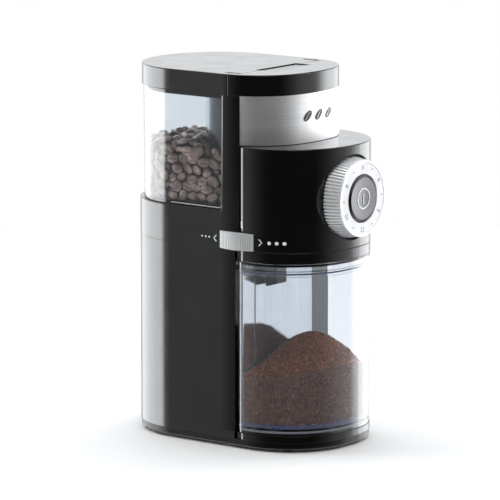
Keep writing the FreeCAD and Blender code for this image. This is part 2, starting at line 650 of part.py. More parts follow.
def make_container():
    outer = front_block(CONTAINER_INSET, CONTAINER_BACK, 4.0, CONTAINER_BOTTOM, CONTAINER_RIM)
    inset = CONTAINER_INSET + CONTAINER_WALL
    inner = front_block(inset, CONTAINER_BACK - CONTAINER_WALL, 2.5, CONTAINER_BOTTOM + CONTAINER_FLOOR, BIG)
    foot_ring = front_block(inset + 1.5, CONTAINER_BACK - CONTAINER_WALL - 1.5, 2.0, 0, CONTAINER_BOTTOM + 1.2)
    bowl = outer.cut(inner).cut(foot_ring)
    save("container_bowl", bowl)

    lid = front_block(CONTAINER_INSET, CONTAINER_BACK, 4.0, CONTAINER_RIM + 0.15, CONTAINER_TOP)
    lid_hollow = front_block(inset, CONTAINER_BACK - CONTAINER_WALL, 2.5, 0, CONTAINER_TOP - THIN_WALL)
    plug = front_block(inset + 0.15, CONTAINER_BACK - CONTAINER_WALL - 0.15, 2.4,
                       CONTAINER_RIM - 4.0, CONTAINER_TOP - 1.0)
    plug_hollow = front_block(inset + 1.6, CONTAINER_BACK - CONTAINER_WALL - 1.6, 2.0, 0, CONTAINER_TOP - THIN_WALL)
    hole = box(CHUTE_LEFT + 1.0, CHUTE_RIGHT - 1.0, CHUTE_FRONT + 1.0, -29.5, 0, BIG)
    lid = union([lid.cut(lid_hollow), plug.cut(plug_hollow)]).cut(hole)
    save("container_lid", lid)

    top = CONTAINER_TOP - THIN_WALL
    spout = box(CHUTE_LEFT - 0.5, CHUTE_RIGHT + 0.5, CHUTE_FRONT - 0.5, -29.2, 106.0, top)
    bore = box(CHUTE_LEFT + 1.0, CHUTE_RIGHT - 1.0, CHUTE_FRONT + 1.0, -30.7, 0, BIG)
    slant = Part.makePolygon([V(0, 0, 90), V(0, -60, 90), V(0, -60, 115), V(0, -25, 105), V(0, 0, 105), V(0, 0, 90)])
    slant = Part.Face(slant).extrude(V(100, 0, 0))
    slant.translate(V(-60, 0, 0))
    save("lid_spout", spout.cut(bore).cut(slant))


# ---------------------------------------------------------------------------
# Dial, timer and start button
# ---------------------------------------------------------------------------

def turned_y(profile):
    """Solid of revolution about the dial axis from (radius, y) points."""
    points = [V(r, y, DIAL_Z) for r, y in profile]
    points.append(points[0])
    face = Part.Face(Part.makePolygon(points))
    return face.revolve(V(0, 0, DIAL_Z), V(0, 1, 0), 360)


SHAFT_OUTER = 6.0
SHAFT_INNER = 4.6
SLEEVE_OUTER = 4.4
SLEEVE_INNER = STEM_RADIUS + 0.2
SLEEVE_FRONT_Y = -80.0
BUTTON_BACK_Y = -86.6
BUTTON_SKIRT_Y = -88.4
STEM_END_Y = -49.5
SHAFT_END_Y = -74.2


def make_dial():
    back_y = DIAL_BACK_Y
    front_y = DIAL_FACE_Y
    web_y = front_y + 4.8
    knob = turned_y([
        (SHAFT_INNER + 0.6, web_y), (DIAL_RADIUS - 9.0, web_y), (DIAL_RADIUS - 9.0, front_y + 1.2),
        (DIAL_RADIUS - 1.2, front_y + 1.2), (DIAL_RADIUS - 1.2, front_y), (DIAL_RADIUS, front_y),
        (DIAL_BACK_RADIUS, back_y), (DIAL_BACK_RADIUS - 2.0, back_y),
        (DIAL_RADIUS - 2.2, front_y + 3.2), (DIAL_RADIUS - 7.4, front_y + 3.2),
        (DIAL_RADIUS - 7.4, web_y + 1.6), (SHAFT_INNER + 0.6, web_y + 1.6),
    ])
    slope = math.atan2(DIAL_BACK_RADIUS - DIAL_RADIUS, back_y - front_y)
    length = (back_y - front_y) / math.cos(slope)
    grooves = []
    for step in range(DIAL_RIBS):
        groove = box(-0.6, 0.6, 1.6, length + 2.0, -DIAL_RIB_DEPTH, 2.0)
        groove.rotate(V(0, 0, 0), V(1, 0, 0), math.degrees(slope))
        groove.translate(V(0, front_y, DIAL_Z + DIAL_RADIUS))
        groove.rotate(V(0, 0, DIAL_Z), V(0, 1, 0), 360.0 * step / DIAL_RIBS)
        grooves.append(groove)
    save("dial_knob", knob.cut(Part.makeCompound(grooves)))

    save("dial_face", turned_y([
        (DIAL_RADIUS - 8.9, front_y + 0.3), (DIAL_RADIUS - 1.3, front_y + 0.3),
        (DIAL_RADIUS - 1.3, front_y + 1.2), (DIAL_RADIUS - 8.9, front_y + 1.2),
    ]))

    save("dial_shaft", turned_y([
        (SHAFT_INNER, web_y + 1.6), (DIAL_RADIUS - 12.0, web_y + 1.6), (DIAL_RADIUS - 12.0, web_y + 3.0),
        (SHAFT_OUTER, web_y + 3.0), (SHAFT_OUTER, SHAFT_END_Y), (SHAFT_INNER, SHAFT_END_Y),
    ]))

    button = turned_y([
        (0, BUTTON_FRONT_Y + 0.5), (BUTTON_RADIUS - 1.4, BUTTON_FRONT_Y + 0.2),
        (BUTTON_RADIUS, BUTTON_FRONT_Y + 1.4), (BUTTON_RADIUS, BUTTON_SKIRT_Y),
        (BUTTON_RADIUS - 1.6, BUTTON_SKIRT_Y), (BUTTON_RADIUS - 1.6, BUTTON_FRONT_Y + 1.9),
        (STEM_RADIUS + 1.0, BUTTON_FRONT_Y + 1.9), (STEM_RADIUS, BUTTON_BACK_Y),
        (STEM_RADIUS, STEM_END_Y), (0, STEM_END_Y),
    ])
    save("start_button", button)

    coils = 4
    height = SLEEVE_FRONT_Y - BUTTON_BACK_Y - 0.9
    helix = Part.makeHelix(height / coils, height, 3.5)
    helix.rotate(V(0, 0, 0), V(1, 0, 0), -90)
    helix.translate(V(0, BUTTON_BACK_Y + 0.45, DIAL_Z))
    start = helix.Edges[0].valueAt(helix.Edges[0].FirstParameter)
    way = helix.Edges[0].tangentAt(helix.Edges[0].FirstParameter)
    section = Part.Wire([Part.Circle(start, way, 0.35).toShape()])
    save("button_spring", Part.Wire(helix.Edges).makePipeShell([section], True, True))


def make_timer():
    case = box(-19.0, 19.0, -73.6, -54.0, DIAL_Z - 19.0, DIAL_Z + 19.0)
    case = case.makeFillet(3.0, [e for e in case.Edges if e.BoundBox.YLength > 5])
    sleeve = cylinder_y(SLEEVE_OUTER, 0, DIAL_Z, SLEEVE_FRONT_Y, -70.0)
    recess = cylinder_y(SHAFT_OUTER + 0.3, 0, DIAL_Z, -76.0, -71.5)
    bore = cylinder_y(SLEEVE_INNER, 0, DIAL_Z, -90.0, -40.0)
    ears = box(-25.0, 25.0, -74.3, -72.6, DIAL_Z - 5.0, DIAL_Z + 5.0)
    timer = union([case, ears]).cut(recess)
    timer = union([timer, sleeve]).cut(bore)
    holes = [cylinder_y(SCREW_RADIUS, x, DIAL_Z, -80.0, -70.0) for x in (-22.0, 22.0)]
    save("dose_timer", timer.cut(Part.makeCompound(holes)))

    screws = []
    for x in (-22.0, 22.0):
        shank = cylinder_y(SCREW_RADIUS, x, DIAL_Z, -74.3, -72.6)
        head = cylinder_y(2.6, x, DIAL_Z, -72.6, -71.0)
        screws.append(shank.fuse(head).removeSplitter())
    save("timer_screws", screws)

    switch = box(-6.0, 6.0, -46.6, -40.0, DIAL_Z - 6.0, DIAL_Z + 6.0)
    save("start_switch", switch)
    board = box(-36.0, 36.0, -39.9, -38.3, DIAL_Z - 20.0, DIAL_Z + 26.0)
    save("control_board", board)
    relay = box(-30.0, -14.0, -52.0, -39.9, DIAL_Z + 2.0, DIAL_Z + 22.0)
    capacitor = Part.makeCylinder(6.0, 12.0, V(24.0, -39.9, DIAL_Z + 10.0), V(0, -1, 0))
    fuse = box(12.0, 30.0, -45.0, -39.9, DIAL_Z - 16.0, DIAL_Z - 10.0)
    save("board_components", [relay, capacitor, fuse])


# ---------------------------------------------------------------------------
# Grind adjustment: slider, rack, ring and upper burr
# ---------------------------------------------------------------------------

RACK_PITCH_X = -RING_MODULE * RING_TEETH / 2.0
RACK_BACK_X = -41.6
RACK_REAR_Y = 51.0
RACK_TOOTH_FROM = 27.0
STEM_FRONT = -30.0
STEM_BACK = -22.2


def make_slider():
    mid_y = (SLIDER_BACK + SLIDER_FRONT) / 2
    half = (SLIDER_BACK - SLIDER_FRONT) / 2
    z0 = SLIDER_BOTTOM
    z1 = SLIDER_BOTTOM + SLIDER_HEIGHT
    inner_x = -BODY[0] - GAP
    end_x = inner_x - 1.2
    sag = SLIDER_FACE_RADIUS - math.sqrt(SLIDER_FACE_RADIUS ** 2 - half ** 2)
    wire = Part.Wire([
        line(V(inner_x, mid_y - half, z0), V(end_x, mid_y - half, z0)),
        arc(V(end_x, mid_y - half, z0), V(end_x - sag, mid_y, z0), V(end_x, mid_y + half, z0)),
        line(V(end_x, mid_y + half, z0), V(inner_x, mid_y + half, z0)),
        line(V(inner_x, mid_y + half, z0), V(inner_x, mid_y - half, z0)),
    ])
    grip = Part.Face(wire).extrude(V(0, 0, z1 - z0))
    centre_x = end_x - sag + SLIDER_FACE_RADIUS
    reach = math.degrees(math.asin(half / SLIDER_FACE_RADIUS))
    grooves = []
    for step in range(SLIDER_RIBS - 1):
        angle = -reach + 2 * reach * (step + 1) / SLIDER_RIBS
        groove = box(-SLIDER_FACE_RADIUS - 1, -SLIDER_FACE_RADIUS + 0.9, -0.42, 0.42, z0 - 1, z1 + 1)
        groove.rotate(V(0, 0, 0), V(0, 0, 1), angle)
        groove.translate(V(centre_x, mid_y, 0))
        grooves.append(groove)
    grip = grip.cut(Part.makeCompound(grooves))
    pocket = box(end_x - 0.6, inner_x - 0.9, mid_y - half + 1.2, mid_y + half - 1.2, z1 - 0.8, z1 + 1)
    stem = box(inner_x - 0.5, RACK_BACK_X - 1.0, STEM_FRONT, STEM_BACK, RACK_BOTTOM, RACK_TOP)
    save("slider_grip", union([grip.cut(pocket), stem]))

    pitch = math.pi * RING_MODULE
    play = 0.30
    add = 0.8 * RING_MODULE
    root_x = RACK_PITCH_X - 1.15 * RING_MODULE
    tip_x = RACK_PITCH_X + add
    slope = math.tan(math.radians(20))
    half_pitch = pitch / 4 - play / 2
    half_tip = half_pitch - add * slope
    half_root = half_pitch + 1.15 * RING_MODULE * slope
    bar = box(RACK_BACK_X, root_x, STEM_FRONT, RACK_REAR_Y, RACK_BOTTOM, RACK_TOP)
    hook = box(RACK_BACK_X - 1.0, RACK_BACK_X, STEM_FRONT, STEM_BACK, RACK_BOTTOM, RACK_TOP)
    pieces = [bar, hook]
    count = int((RACK_REAR_Y - RACK_TOOTH_FROM) / pitch)
    first = BURR_Y - pitch * (int((BURR_Y - RACK_TOOTH_FROM) / pitch))
    for step in range(count):
        y = first + pitch * step
        if y + half_root > RACK_REAR_Y:
            continue
        tooth = Part.makePolygon([
            V(root_x - 0.5, y - half_root, RACK_BOTTOM), V(root_x, y - half_root, RACK_BOTTOM),
            V(tip_x, y - half_tip, RACK_BOTTOM), V(tip_x, y + half_tip, RACK_BOTTOM),
            V(root_x, y + half_root, RACK_BOTTOM), V(root_x - 0.5, y + half_root, RACK_BOTTOM),
            V(root_x - 0.5, y - half_root, RACK_BOTTOM),
        ])
        pieces.append(Part.Face(tooth).extrude(V(0, 0, RACK_TOP - RACK_BOTTOM)))
    save("adjuster_rack", union(pieces))


def make_adjusting_ring():
    # A tooth gap faces the rack tooth that stands level with the burr axis.
    turn = math.pi + math.pi / RING_TEETH
    ring = gear(RING_MODULE, RING_TEETH, 0.3, turn, 0, BURR_Y, RING_BOTTOM, RING_TOP)
    ring = ring.cut(cylinder(CHAMBER_INNER + 0.4, 0, BURR_Y, 0, BIG))
    save("adjusting_ring", ring)

    carrier_radius = CHAMBER_INNER - 0.2
    burr_bottom = LOWER_BURR_TOP + BURR_GAP
    burr_top = burr_bottom + BURR_THICKNESS
    carrier_top = 150.0
    carrier = cylinder(carrier_radius, 0, BURR_Y, burr_top, carrier_top)
    skirt = tube(carrier_radius, BURR_RADIUS + 3.0, 0, BURR_Y, burr_bottom + 1.5, burr_top)
    mouth = cone(BURR_BORE, BURR_BORE + 3.0, 0, BURR_Y, burr_top, carrier_top)
    carrier = union([carrier, skirt]).cut(mouth)
    seats = [cylinder(SCREW_RADIUS, x, y, burr_top - 1, burr_top + 3.5) for x, y in BURR_SCREWS]
    save("burr_carrier", carrier.cut(Part.makeCompound(seats)))

    burr = tube(BURR_RADIUS, BURR_BORE, 0, BURR_Y, burr_bottom, burr_top)
    flare = cone(BURR_BORE + 3.2, BURR_BORE - 0.1, 0, BURR_Y, burr_bottom - 0.01, burr_bottom + 3.3)
    burr = burr.cut(flare)
    burr = burr.cut(burr_grooves(burr_bottom, 24, 12.0))
    holes = [cylinder(SCREW_RADIUS, x, y, 0, BIG) for x, y in BURR_SCREWS]
    holes += [cylinder(2.9, x, y, 0, burr_bottom + 2.0) for x, y in BURR_SCREWS]
    save("upper_burr", burr.cut(Part.makeCompound(holes)))
    save("upper_burr_screws", [screw(x, y, burr_bottom + 2.0, 6.0, head_height=1.4) for x, y in BURR_SCREWS])


BURR_SCREWS = ring_points(20.4, 3, 90.0, 0, BURR_Y)


def burr_grooves(z, count, lean):
    """Radial cutting grooves of a flat burr, leaning off the true radius."""
    grooves = []
    for step in range(count):
        groove = box(BURR_BORE - 3.0, BURR_RADIUS + 2.0, -0.55, 0.55, -1.1, 1.1)
        groove.rotate(V(0, 0, 0), V(1, 0, 0), 35)
        groove.rotate(V(0, 0, 0), V(0, 0, 1), lean)
        groove.translate(V(0, 2.5, 0))
        groove.rotate(V(0, 0, 0), V(0, 0, 1), 360.0 * step / count)
        groove.translate(V(0, BURR_Y, z))
        grooves.append(groove)
    return Part.makeCompound(grooves)


# ---------------------------------------------------------------------------
# Spindle, lower burr, gears
# ---------------------------------------------------------------------------

HUB_BOTTOM = 131.2
LOWER_BURR_BOTTOM = LOWER_BURR_TOP - BURR_THICKNESS
BEARING_OUTER = 8.0


def make_spindle():
    spindle = cylinder(SPINDLE_RADIUS, 0, BURR_Y, 91.0, LOWER_BURR_TOP + 1.0)
    stud = cylinder(2.5, 0, BURR_Y, LOWER_BURR_TOP + 1.0, LOWER_BURR_TOP + 6.0)
    save("burr_spindle", union([spindle, stud]))

    hub = cylinder(BURR_RADIUS + 1.0, 0, BURR_Y, HUB_BOTTOM, LOWER_BURR_BOTTOM)
    neck = cylinder(9.0, 0, BURR_Y, LOWER_BURR_BOTTOM - 0.5, LOWER_BURR_TOP + 1.0)
    vanes = []
    for step in range(4):
        vane = box(9.5, CHAMBER_INNER - 0.8, -1.5, 1.5, CHAMBER_FLOOR + 0.5, HUB_BOTTOM + 2.0)
        vane.rotate(V(0, 0, 0), V(0, 0, 1), 45.0 + 90.0 * step)
        vane.translate(V(0, BURR_Y, 0))
        vanes.append(vane)
    hub = union([hub, neck] + vanes).cut(cylinder(SPINDLE_RADIUS, 0, BURR_Y, 0, BIG))
    save("burr_hub", hub)

    burr = tube(BURR_RADIUS, 9.0, 0, BURR_Y, LOWER_BURR_BOTTOM, LOWER_BURR_TOP)
    save("lower_burr", burr.cut(burr_grooves(LOWER_BURR_TOP, 24, 12.0)))

    nut_face = Part.makePolygon([V(x, y, LOWER_BURR_TOP + 1.0) for x, y in ring_points(5.0, 6, 0, 0, BURR_Y)]
                                + [V(5.0, BURR_Y, LOWER_BURR_TOP + 1.0)])
    nut = Part.Face(nut_face).extrude(V(0, 0, 4.0)).cut(cylinder(2.5, 0, BURR_Y, 0, BIG))
    save("hub_nut", nut)

    wheel = gear(GEAR_MODULE, GEAR_TEETH, 0.16, math.pi / 2, 0, BURR_Y, GEAR_BOTTOM, GEAR_BOTTOM + GEAR_WIDTH)
    web = tube(26.5, 9.0, 0, BURR_Y, GEAR_BOTTOM + 5.0, GEAR_BOTTOM + GEAR_WIDTH + 1)
    wheel = wheel.cut(web).cut(cylinder(SPINDLE_RADIUS, 0, BURR_Y, 0, BIG))
    save("output_gear", wheel)


def make_bearings():
    bore = SPINDLE_RADIUS + RUNNING / 2
    lower = tube(BEARING_OUTER, bore, 0, BURR_Y, PLATE_BOTTOM - 2.0, PLATE_BOTTOM + 5.0)
    save("lower_bearing", lower)
    upper = tube(BEARING_OUTER, bore, 0, BURR_Y, 121.5, CHAMBER_FLOOR)
    save("upper_bearing", upper)


CHAMBER_LEGS = ring_points(35.5, 3, -60.0, 0, BURR_Y)
REAR_POSTS = ring_points(POST_RADIUS_AT, 1, 40.0, 0, BURR_Y) + ring_points(POST_RADIUS_AT, 1, 140.0, 0, BURR_Y)
FRONT_POSTS = ring_points(POST_RADIUS_AT, 1, 216.0, 0, BURR_Y) + ring_points(POST_RADIUS_AT, 1, 324.0, 0, BURR_Y)
RING_POSTS = REAR_POSTS + FRONT_POSTS
LEG_RADIUS = 3.0


def make_chamber():
    cup = cylinder(CHAMBER_OUTER, 0, BURR_Y, CHAMBER_BOTTOM, CHAMBER_TOP)
    cup = cup.cut(cylinder(CHAMBER_INNER, 0, BURR_Y, CHAMBER_FLOOR, BIG))
    boss = cylinder(BEARING_OUTER + 2.5, 0, BURR_Y, 120.0, CHAMBER_BOTTOM + 0.5)
    legs = [cylinder(LEG_RADIUS, x, y, PLATE_BOTTOM + PLATE_THICKNESS, CHAMBER_BOTTOM + 2) for x, y in CHAMBER_LEGS]
    lugs = []
    for x, y in RING_POSTS:
        lug = cylinder(2.5, x, y, 131.0, 134.0)
        angle = math.degrees(math.atan2(y - BURR_Y, x))
        rib = box(CHAMBER_OUTER - 1.0, POST_RADIUS_AT, -2.5, 2.5, 131.0, 134.0)
        rib.rotate(V(0, 0, 0), V(0, 0, 1), angle)
        rib.translate(V(0, BURR_Y, 0))
        lugs.extend([lug, rib])
    cup = union([cup, boss] + legs + lugs)
    port = box(CHUTE_LEFT + 1.6, CHUTE_RIGHT - 1.6, -10, BURR_Y - 15.0, CHAMBER_FLOOR, 136.6)
    cuts = [cylinder(BEARING_OUTER, 0, BURR_Y, 121.5, BIG), cylinder(SPINDLE_RADIUS + 1, 0, BURR_Y, 110, BIG), port]
    cuts += [cylinder(SCREW_RADIUS, x, y, 90, PLATE_BOTTOM + PLATE_THICKNESS + 9) for x, y in CHAMBER_LEGS]
    cuts += [cylinder(1.2, x, y, 130, 135) for x, y in RING_POSTS]
    save("grinding_chamber", cup.cut(Part.makeCompound(cuts)))
    screws = [screw(x, y, PLATE_BOTTOM, 10.0) for x, y in CHAMBER_LEGS]
    save("chamber_screws", screws)

    retainer = tube(POST_RADIUS_AT + 2.9, CHAMBER_INNER + 0.6, 0, BURR_Y, 145.4, 147.4)
    retainer = retainer.common(slab(BODY, WALL + 0.6, 100, 160))
    posts = [cylinder(2.5, x, y, 134.0, 146.0) for x, y in RING_POSTS]
    retainer = union([retainer] + posts)
    retainer = retainer.cut(Part.makeCompound([cylinder(1.2, x, y, 130, 150) for x, y in RING_POSTS]))
    save("retaining_ring", retainer)
    save("retaining_screws", [post_screw(x, y) for x, y in RING_POSTS])


def post_screw(x, y):
    shank = cylinder(1.2, x, y, 131.0, 147.4)
    head = cylinder(2.2, x, y, 147.4, 148.9)
    return union([shank, head])


def make_chute():
    duct = box(CHUTE_LEFT, CHUTE_RIGHT, CHUTE_FRONT, 30.0, CHUTE_BOTTOM, CHUTE_TOP)
    duct = duct.cut(cylinder(CHAMBER_OUTER + 0.02, 0, BURR_Y, 0, BIG))
    bore = box(CHUTE_LEFT + 1.6, CHUTE_RIGHT - 1.6, CHUTE_FRONT + 1.6, 60.0, CHAMBER_FLOOR, CHUTE_TOP - 1.6)
    drop = box(CHUTE_LEFT + 1.6, CHUTE_RIGHT - 1.6, CHUTE_FRONT + 1.6, -27.0, 0, CHAMBER_FLOOR + 1)
    save("discharge_chute", duct.cut(bore).cut(drop))


def make_gear_plate():
    plate = slab(BODY, WALL + 0.3, PLATE_BOTTOM, PLATE_BOTTOM + PLATE_THICKNESS).common(behind(BAY_WALL + WALL + 0.3))
    cuts = [cylinder(BEARING_OUTER, 0, BURR_Y, 0, BIG), cylinder(9.0, 0, MOTOR_Y, 0, BIG)]
    cuts += [cylinder(SCREW_RADIUS, x, y, 0, BIG) for x, y in CHAMBER_LEGS]
    cuts += [cylinder(SCREW_RADIUS, s * LEDGE_X, y, 0, BIG) for s, y in LEDGES]
    cuts += [cylinder(SCREW_RADIUS, x, y, 0, BIG) for x, y in MOTOR_SCREWS]
    cuts.append(box(30.0, 44.0, -6.0, 22.0, 0, BIG))
    save("gear_plate", plate.cut(Part.makeCompound(cuts)))
    top = PLATE_BOTTOM + PLATE_THICKNESS
    save("gear_plate_screws", [screw(s * LEDGE_X, y, top, 8.0, up=False) for s, y in LEDGES])


# ---------------------------------------------------------------------------
# Motor
# ---------------------------------------------------------------------------

MOTOR_SCREWS = [(-13.0, MOTOR_Y), (13.0, MOTOR_Y)]
MOTOR_TOP = PLATE_BOTTOM - 2.0
CAN_WALL = 1.2


def make_motor():
    can = cylinder(MOTOR_RADIUS, 0, MOTOR_Y, MOTOR_BOTTOM, MOTOR_TOP)
    can = can.cut(cylinder(MOTOR_RADIUS - CAN_WALL, 0, MOTOR_Y, MOTOR_BOTTOM - 1, MOTOR_TOP - CAN_WALL))
    nose = cylinder(6.0, 0, MOTOR_Y, MOTOR_TOP - 0.5, MOTOR_TOP + 3.0)
    can = union([can, nose])
    cuts = [cylinder(MOTOR_SHAFT_RADIUS + RUNNING / 2, 0, MOTOR_Y, 0, BIG)]
    cuts += [cylinder(SCREW_RADIUS, x, y, MOTOR_TOP - 5, BIG) for x, y in MOTOR_SCREWS]
    for x, y in ring_points(15.5, 6, 30.0, 0, MOTOR_Y):
        cuts.append(cylinder(2.6, x, y, MOTOR_TOP - 3, MOTOR_TOP + 3))
    save("motor_can", can.cut(Part.makeCompound(cuts)))

    rings = []
    for x, y in MOTOR_SCREWS:
        rings.append(tube(3.6, SCREW_RADIUS, x, y, MOTOR_TOP, PLATE_BOTTOM))
    save("motor_mount_rings", rings)
    top = PLATE_BOTTOM + PLATE_THICKNESS
    save("motor_screws", [screw(x, y, top, 7.0, up=False) for x, y in MOTOR_SCREWS])

    magnets = []
    ring = tube(MOTOR_RADIUS - CAN_WALL, MOTOR_RADIUS - CAN_WALL - 4.0, 0, MOTOR_Y, 42.0, 80.0)
    for side in (-1.0, 1.0):
        x0 = 4.0 if side > 0 else -BIG
        x1 = BIG if side > 0 else -4.0
        magnets.append(ring.common(box(x0, x1, -BIG, BIG, 0, BIG)))
    save("motor_magnets", magnets)

    cap = cylinder(MOTOR_RADIUS, 0, MOTOR_Y, MOTOR_BOTTOM - 3.0, MOTOR_BOTTOM)
    cap = union([cap, cylinder(MOTOR_RADIUS - CAN_WALL - 0.05, 0, MOTOR_Y, MOTOR_BOTTOM - 0.5, MOTOR_BOTTOM + 2.0)])
    brushes = [box(-13.5, -7.2, MOTOR_Y - 2, MOTOR_Y + 2, MOTOR_BOTTOM, 32.0),
               box(7.2, 13.5, MOTOR_Y - 2, MOTOR_Y + 2, MOTOR_BOTTOM, 32.0)]
    cap = union([cap] + brushes).cut(cylinder(MOTOR_SHAFT_RADIUS + RUNNING / 2, 0, MOTOR_Y, 0, BIG))
    save("motor_end_cap", cap)

    shaft = cylinder(MOTOR_SHAFT_RADIUS, 0, MOTOR_Y, 10.0, GEAR_BOTTOM + GEAR_WIDTH + 0.5)
    save("motor_shaft", shaft)
    stack = cylinder(14.4, 0, MOTOR_Y, 44.0, 78.0).cut(cylinder(MOTOR_SHAFT_RADIUS, 0, MOTOR_Y, 0, BIG))
    slots = []
    for x, y in ring_points(13.6, 12, 15.0, 0, MOTOR_Y):
        slots.append(cylinder(1.1, x, y, 40, 80))
    save("motor_armature", stack.cut(Part.makeCompound(slots)))
    save("motor_commutator", tube(7.0, MOTOR_SHAFT_RADIUS, 0, MOTOR_Y, 26.0, 38.0))
    fan = tube(6.0, MOTOR_SHAFT_RADIUS, 0, MOTOR_Y, 11.0, 18.0)
    blades = []
    for step in range(9):
        blade = box(5.0, 18.0, -0.8, 0.8, 11.5, 17.5)
        blade.rotate(V(0, 0, 0), V(1, 0, 0), 30)
        blade.rotate(V(0, 0, 14.5), V(0, 0, 1), 40.0 * step)
        blade.translate(V(0, MOTOR_Y, 0))
        blades.append(blade)
    save("cooling_fan", union([fan] + blades).cut(cylinder(MOTOR_SHAFT_RADIUS, 0, MOTOR_Y, 0, BIG)))
    # The pinion has a tooth gap on the line to the wheel's tooth.
    turn = math.pi / 2 + math.pi / PINION_TEETH
    pinion = gear(GEAR_MODULE, PINION_TEETH, 0.16, turn, 0, MOTOR_Y, GEAR_BOTTOM - 0.5, GEAR_BOTTOM + GEAR_WIDTH)
    save("motor_pinion", pinion.cut(cylinder(MOTOR_SHAFT_RADIUS, 0, MOTOR_Y, 0, BIG)))


def make_safety_switches():
    hopper = box(10.0, 30.0, -14.0, -6.0, 215.0, 227.0)
    save("hopper_switch", hopper)
    container = box(14.0, 34.0, BAY_WALL + WALL + 0.4, BAY_WALL + WALL + 7.0, 108.0, 119.0)
    save("container_switch", container)


make_base()
make_lower_housing()
make_cord_inlet()
make_upper_housing()
make_steel_band()
make_front_housing()
make_top()
make_hopper()
make_container()
make_dial()
make_timer()
make_slider()
make_adjusting_ring()
make_spindle()
make_bearings()
make_chamber()
make_chute()
make_gear_plate()
make_motor()
make_safety_switches()
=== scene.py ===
"""Looks of a burr coffee grinder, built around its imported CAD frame. Metres throughout."""
import math
import random

import bmesh
import bpy
from mathutils import Euler, Matrix, Vector, noise


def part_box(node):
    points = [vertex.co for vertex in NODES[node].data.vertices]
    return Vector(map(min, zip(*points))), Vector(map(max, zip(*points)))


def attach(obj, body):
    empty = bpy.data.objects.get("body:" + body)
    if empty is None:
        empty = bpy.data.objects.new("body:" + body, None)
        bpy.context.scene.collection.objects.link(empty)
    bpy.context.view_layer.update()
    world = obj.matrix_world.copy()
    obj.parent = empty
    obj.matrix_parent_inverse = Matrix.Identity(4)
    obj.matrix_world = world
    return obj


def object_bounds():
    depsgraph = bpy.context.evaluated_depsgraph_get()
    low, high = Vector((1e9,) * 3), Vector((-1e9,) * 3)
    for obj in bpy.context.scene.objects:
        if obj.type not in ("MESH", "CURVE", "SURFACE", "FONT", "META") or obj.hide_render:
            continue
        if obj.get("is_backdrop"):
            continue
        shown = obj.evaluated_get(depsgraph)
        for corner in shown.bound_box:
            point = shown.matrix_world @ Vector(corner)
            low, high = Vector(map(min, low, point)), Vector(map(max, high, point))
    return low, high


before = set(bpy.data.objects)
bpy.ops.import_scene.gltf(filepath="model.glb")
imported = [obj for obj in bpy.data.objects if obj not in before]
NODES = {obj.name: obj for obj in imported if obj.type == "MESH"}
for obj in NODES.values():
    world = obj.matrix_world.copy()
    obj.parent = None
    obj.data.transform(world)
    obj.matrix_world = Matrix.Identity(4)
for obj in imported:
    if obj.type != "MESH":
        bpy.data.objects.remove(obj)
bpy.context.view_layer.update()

MM = 0.001


# ---------------------------------------------------------------------------
# Camera, floor, light
# ---------------------------------------------------------------------------

CAMERA_AT = Vector((-2.1682, -1.6428, 0.5973))
CAMERA_LOOK = Vector((0.78464, 0.59578, -0.17141))
LENS_MM = 294.8
SENSOR_MM = 36.0


def make_camera():
    data = bpy.data.cameras.new("camera")
    data.lens = LENS_MM
    data.sensor_width = SENSOR_MM
    data.clip_start = 0.05
    data.clip_end = 50.0
    camera = bpy.data.objects.new("camera", data)
    camera.location = CAMERA_AT
    camera.rotation_euler = CAMERA_LOOK.to_track_quat("-Z", "Y").to_euler()
    bpy.context.scene.collection.objects.link(camera)
    bpy.context.scene.camera = camera


def softbox(name, at, aim, size, radiance):
    """Rectangular softbox of a given radiance, facing a point."""
    data = bpy.data.lights.new(name, "AREA")
    data.shape = "RECTANGLE"
    data.size, data.size_y = size
    data.energy = radiance * math.pi * size[0] * size[1]
    light = bpy.data.objects.new(name, data)
    light.location = at
    way = Vector(aim) - Vector(at)
    light.rotation_euler = way.to_track_quat("-Z", "Y").to_euler()
    light.visible_camera = False
    bpy.context.scene.collection.objects.link(light)


REAR_AZIMUTH = math.atan2(CAMERA_LOOK.y, CAMERA_LOOK.x)
REAR_GLOW = 1.0
DARK_SIDE = 0.04
FLOOR_RADIUS = 0.85
# Two tall softboxes far out: azimuth of each end in degrees, radiance at each end.
LEFT_BOX = ((62.0, 130.0), (2.0, 9.0))
RIGHT_BOX = ((-32.0, 12.0), (7.0, 2.0))
# Fade at the upright sides of each softbox.
LEFT_SOFT = math.radians(4.0)
RIGHT_SOFT = math.radians(8.0)
# Share of the softboxes, and of the left of the room, that shows inside the clear bowls.
BOX_BEHIND_GLASS = 0.05
LEFT_BEHIND_GLASS = 0.22


def map_range(tree, source, from_low, from_high, low, high, smooth=True):
    node = tree.nodes.new("ShaderNodeMapRange")
    if smooth:
        node.interpolation_type = "SMOOTHSTEP"
    node.inputs["From Min"].default_value = from_low
    node.inputs["From Max"].default_value = from_high
    node.inputs["To Min"].default_value = low
    node.inputs["To Max"].default_value = high
    tree.links.new(source, node.inputs["Value"])
    return node.outputs["Result"]


def combine(tree, operation, first, second):
    node = tree.nodes.new("ShaderNodeMath")
    node.operation = operation
    tree.links.new(first, node.inputs[0])
    tree.links.new(second, node.inputs[1])
    return node.outputs["Value"]


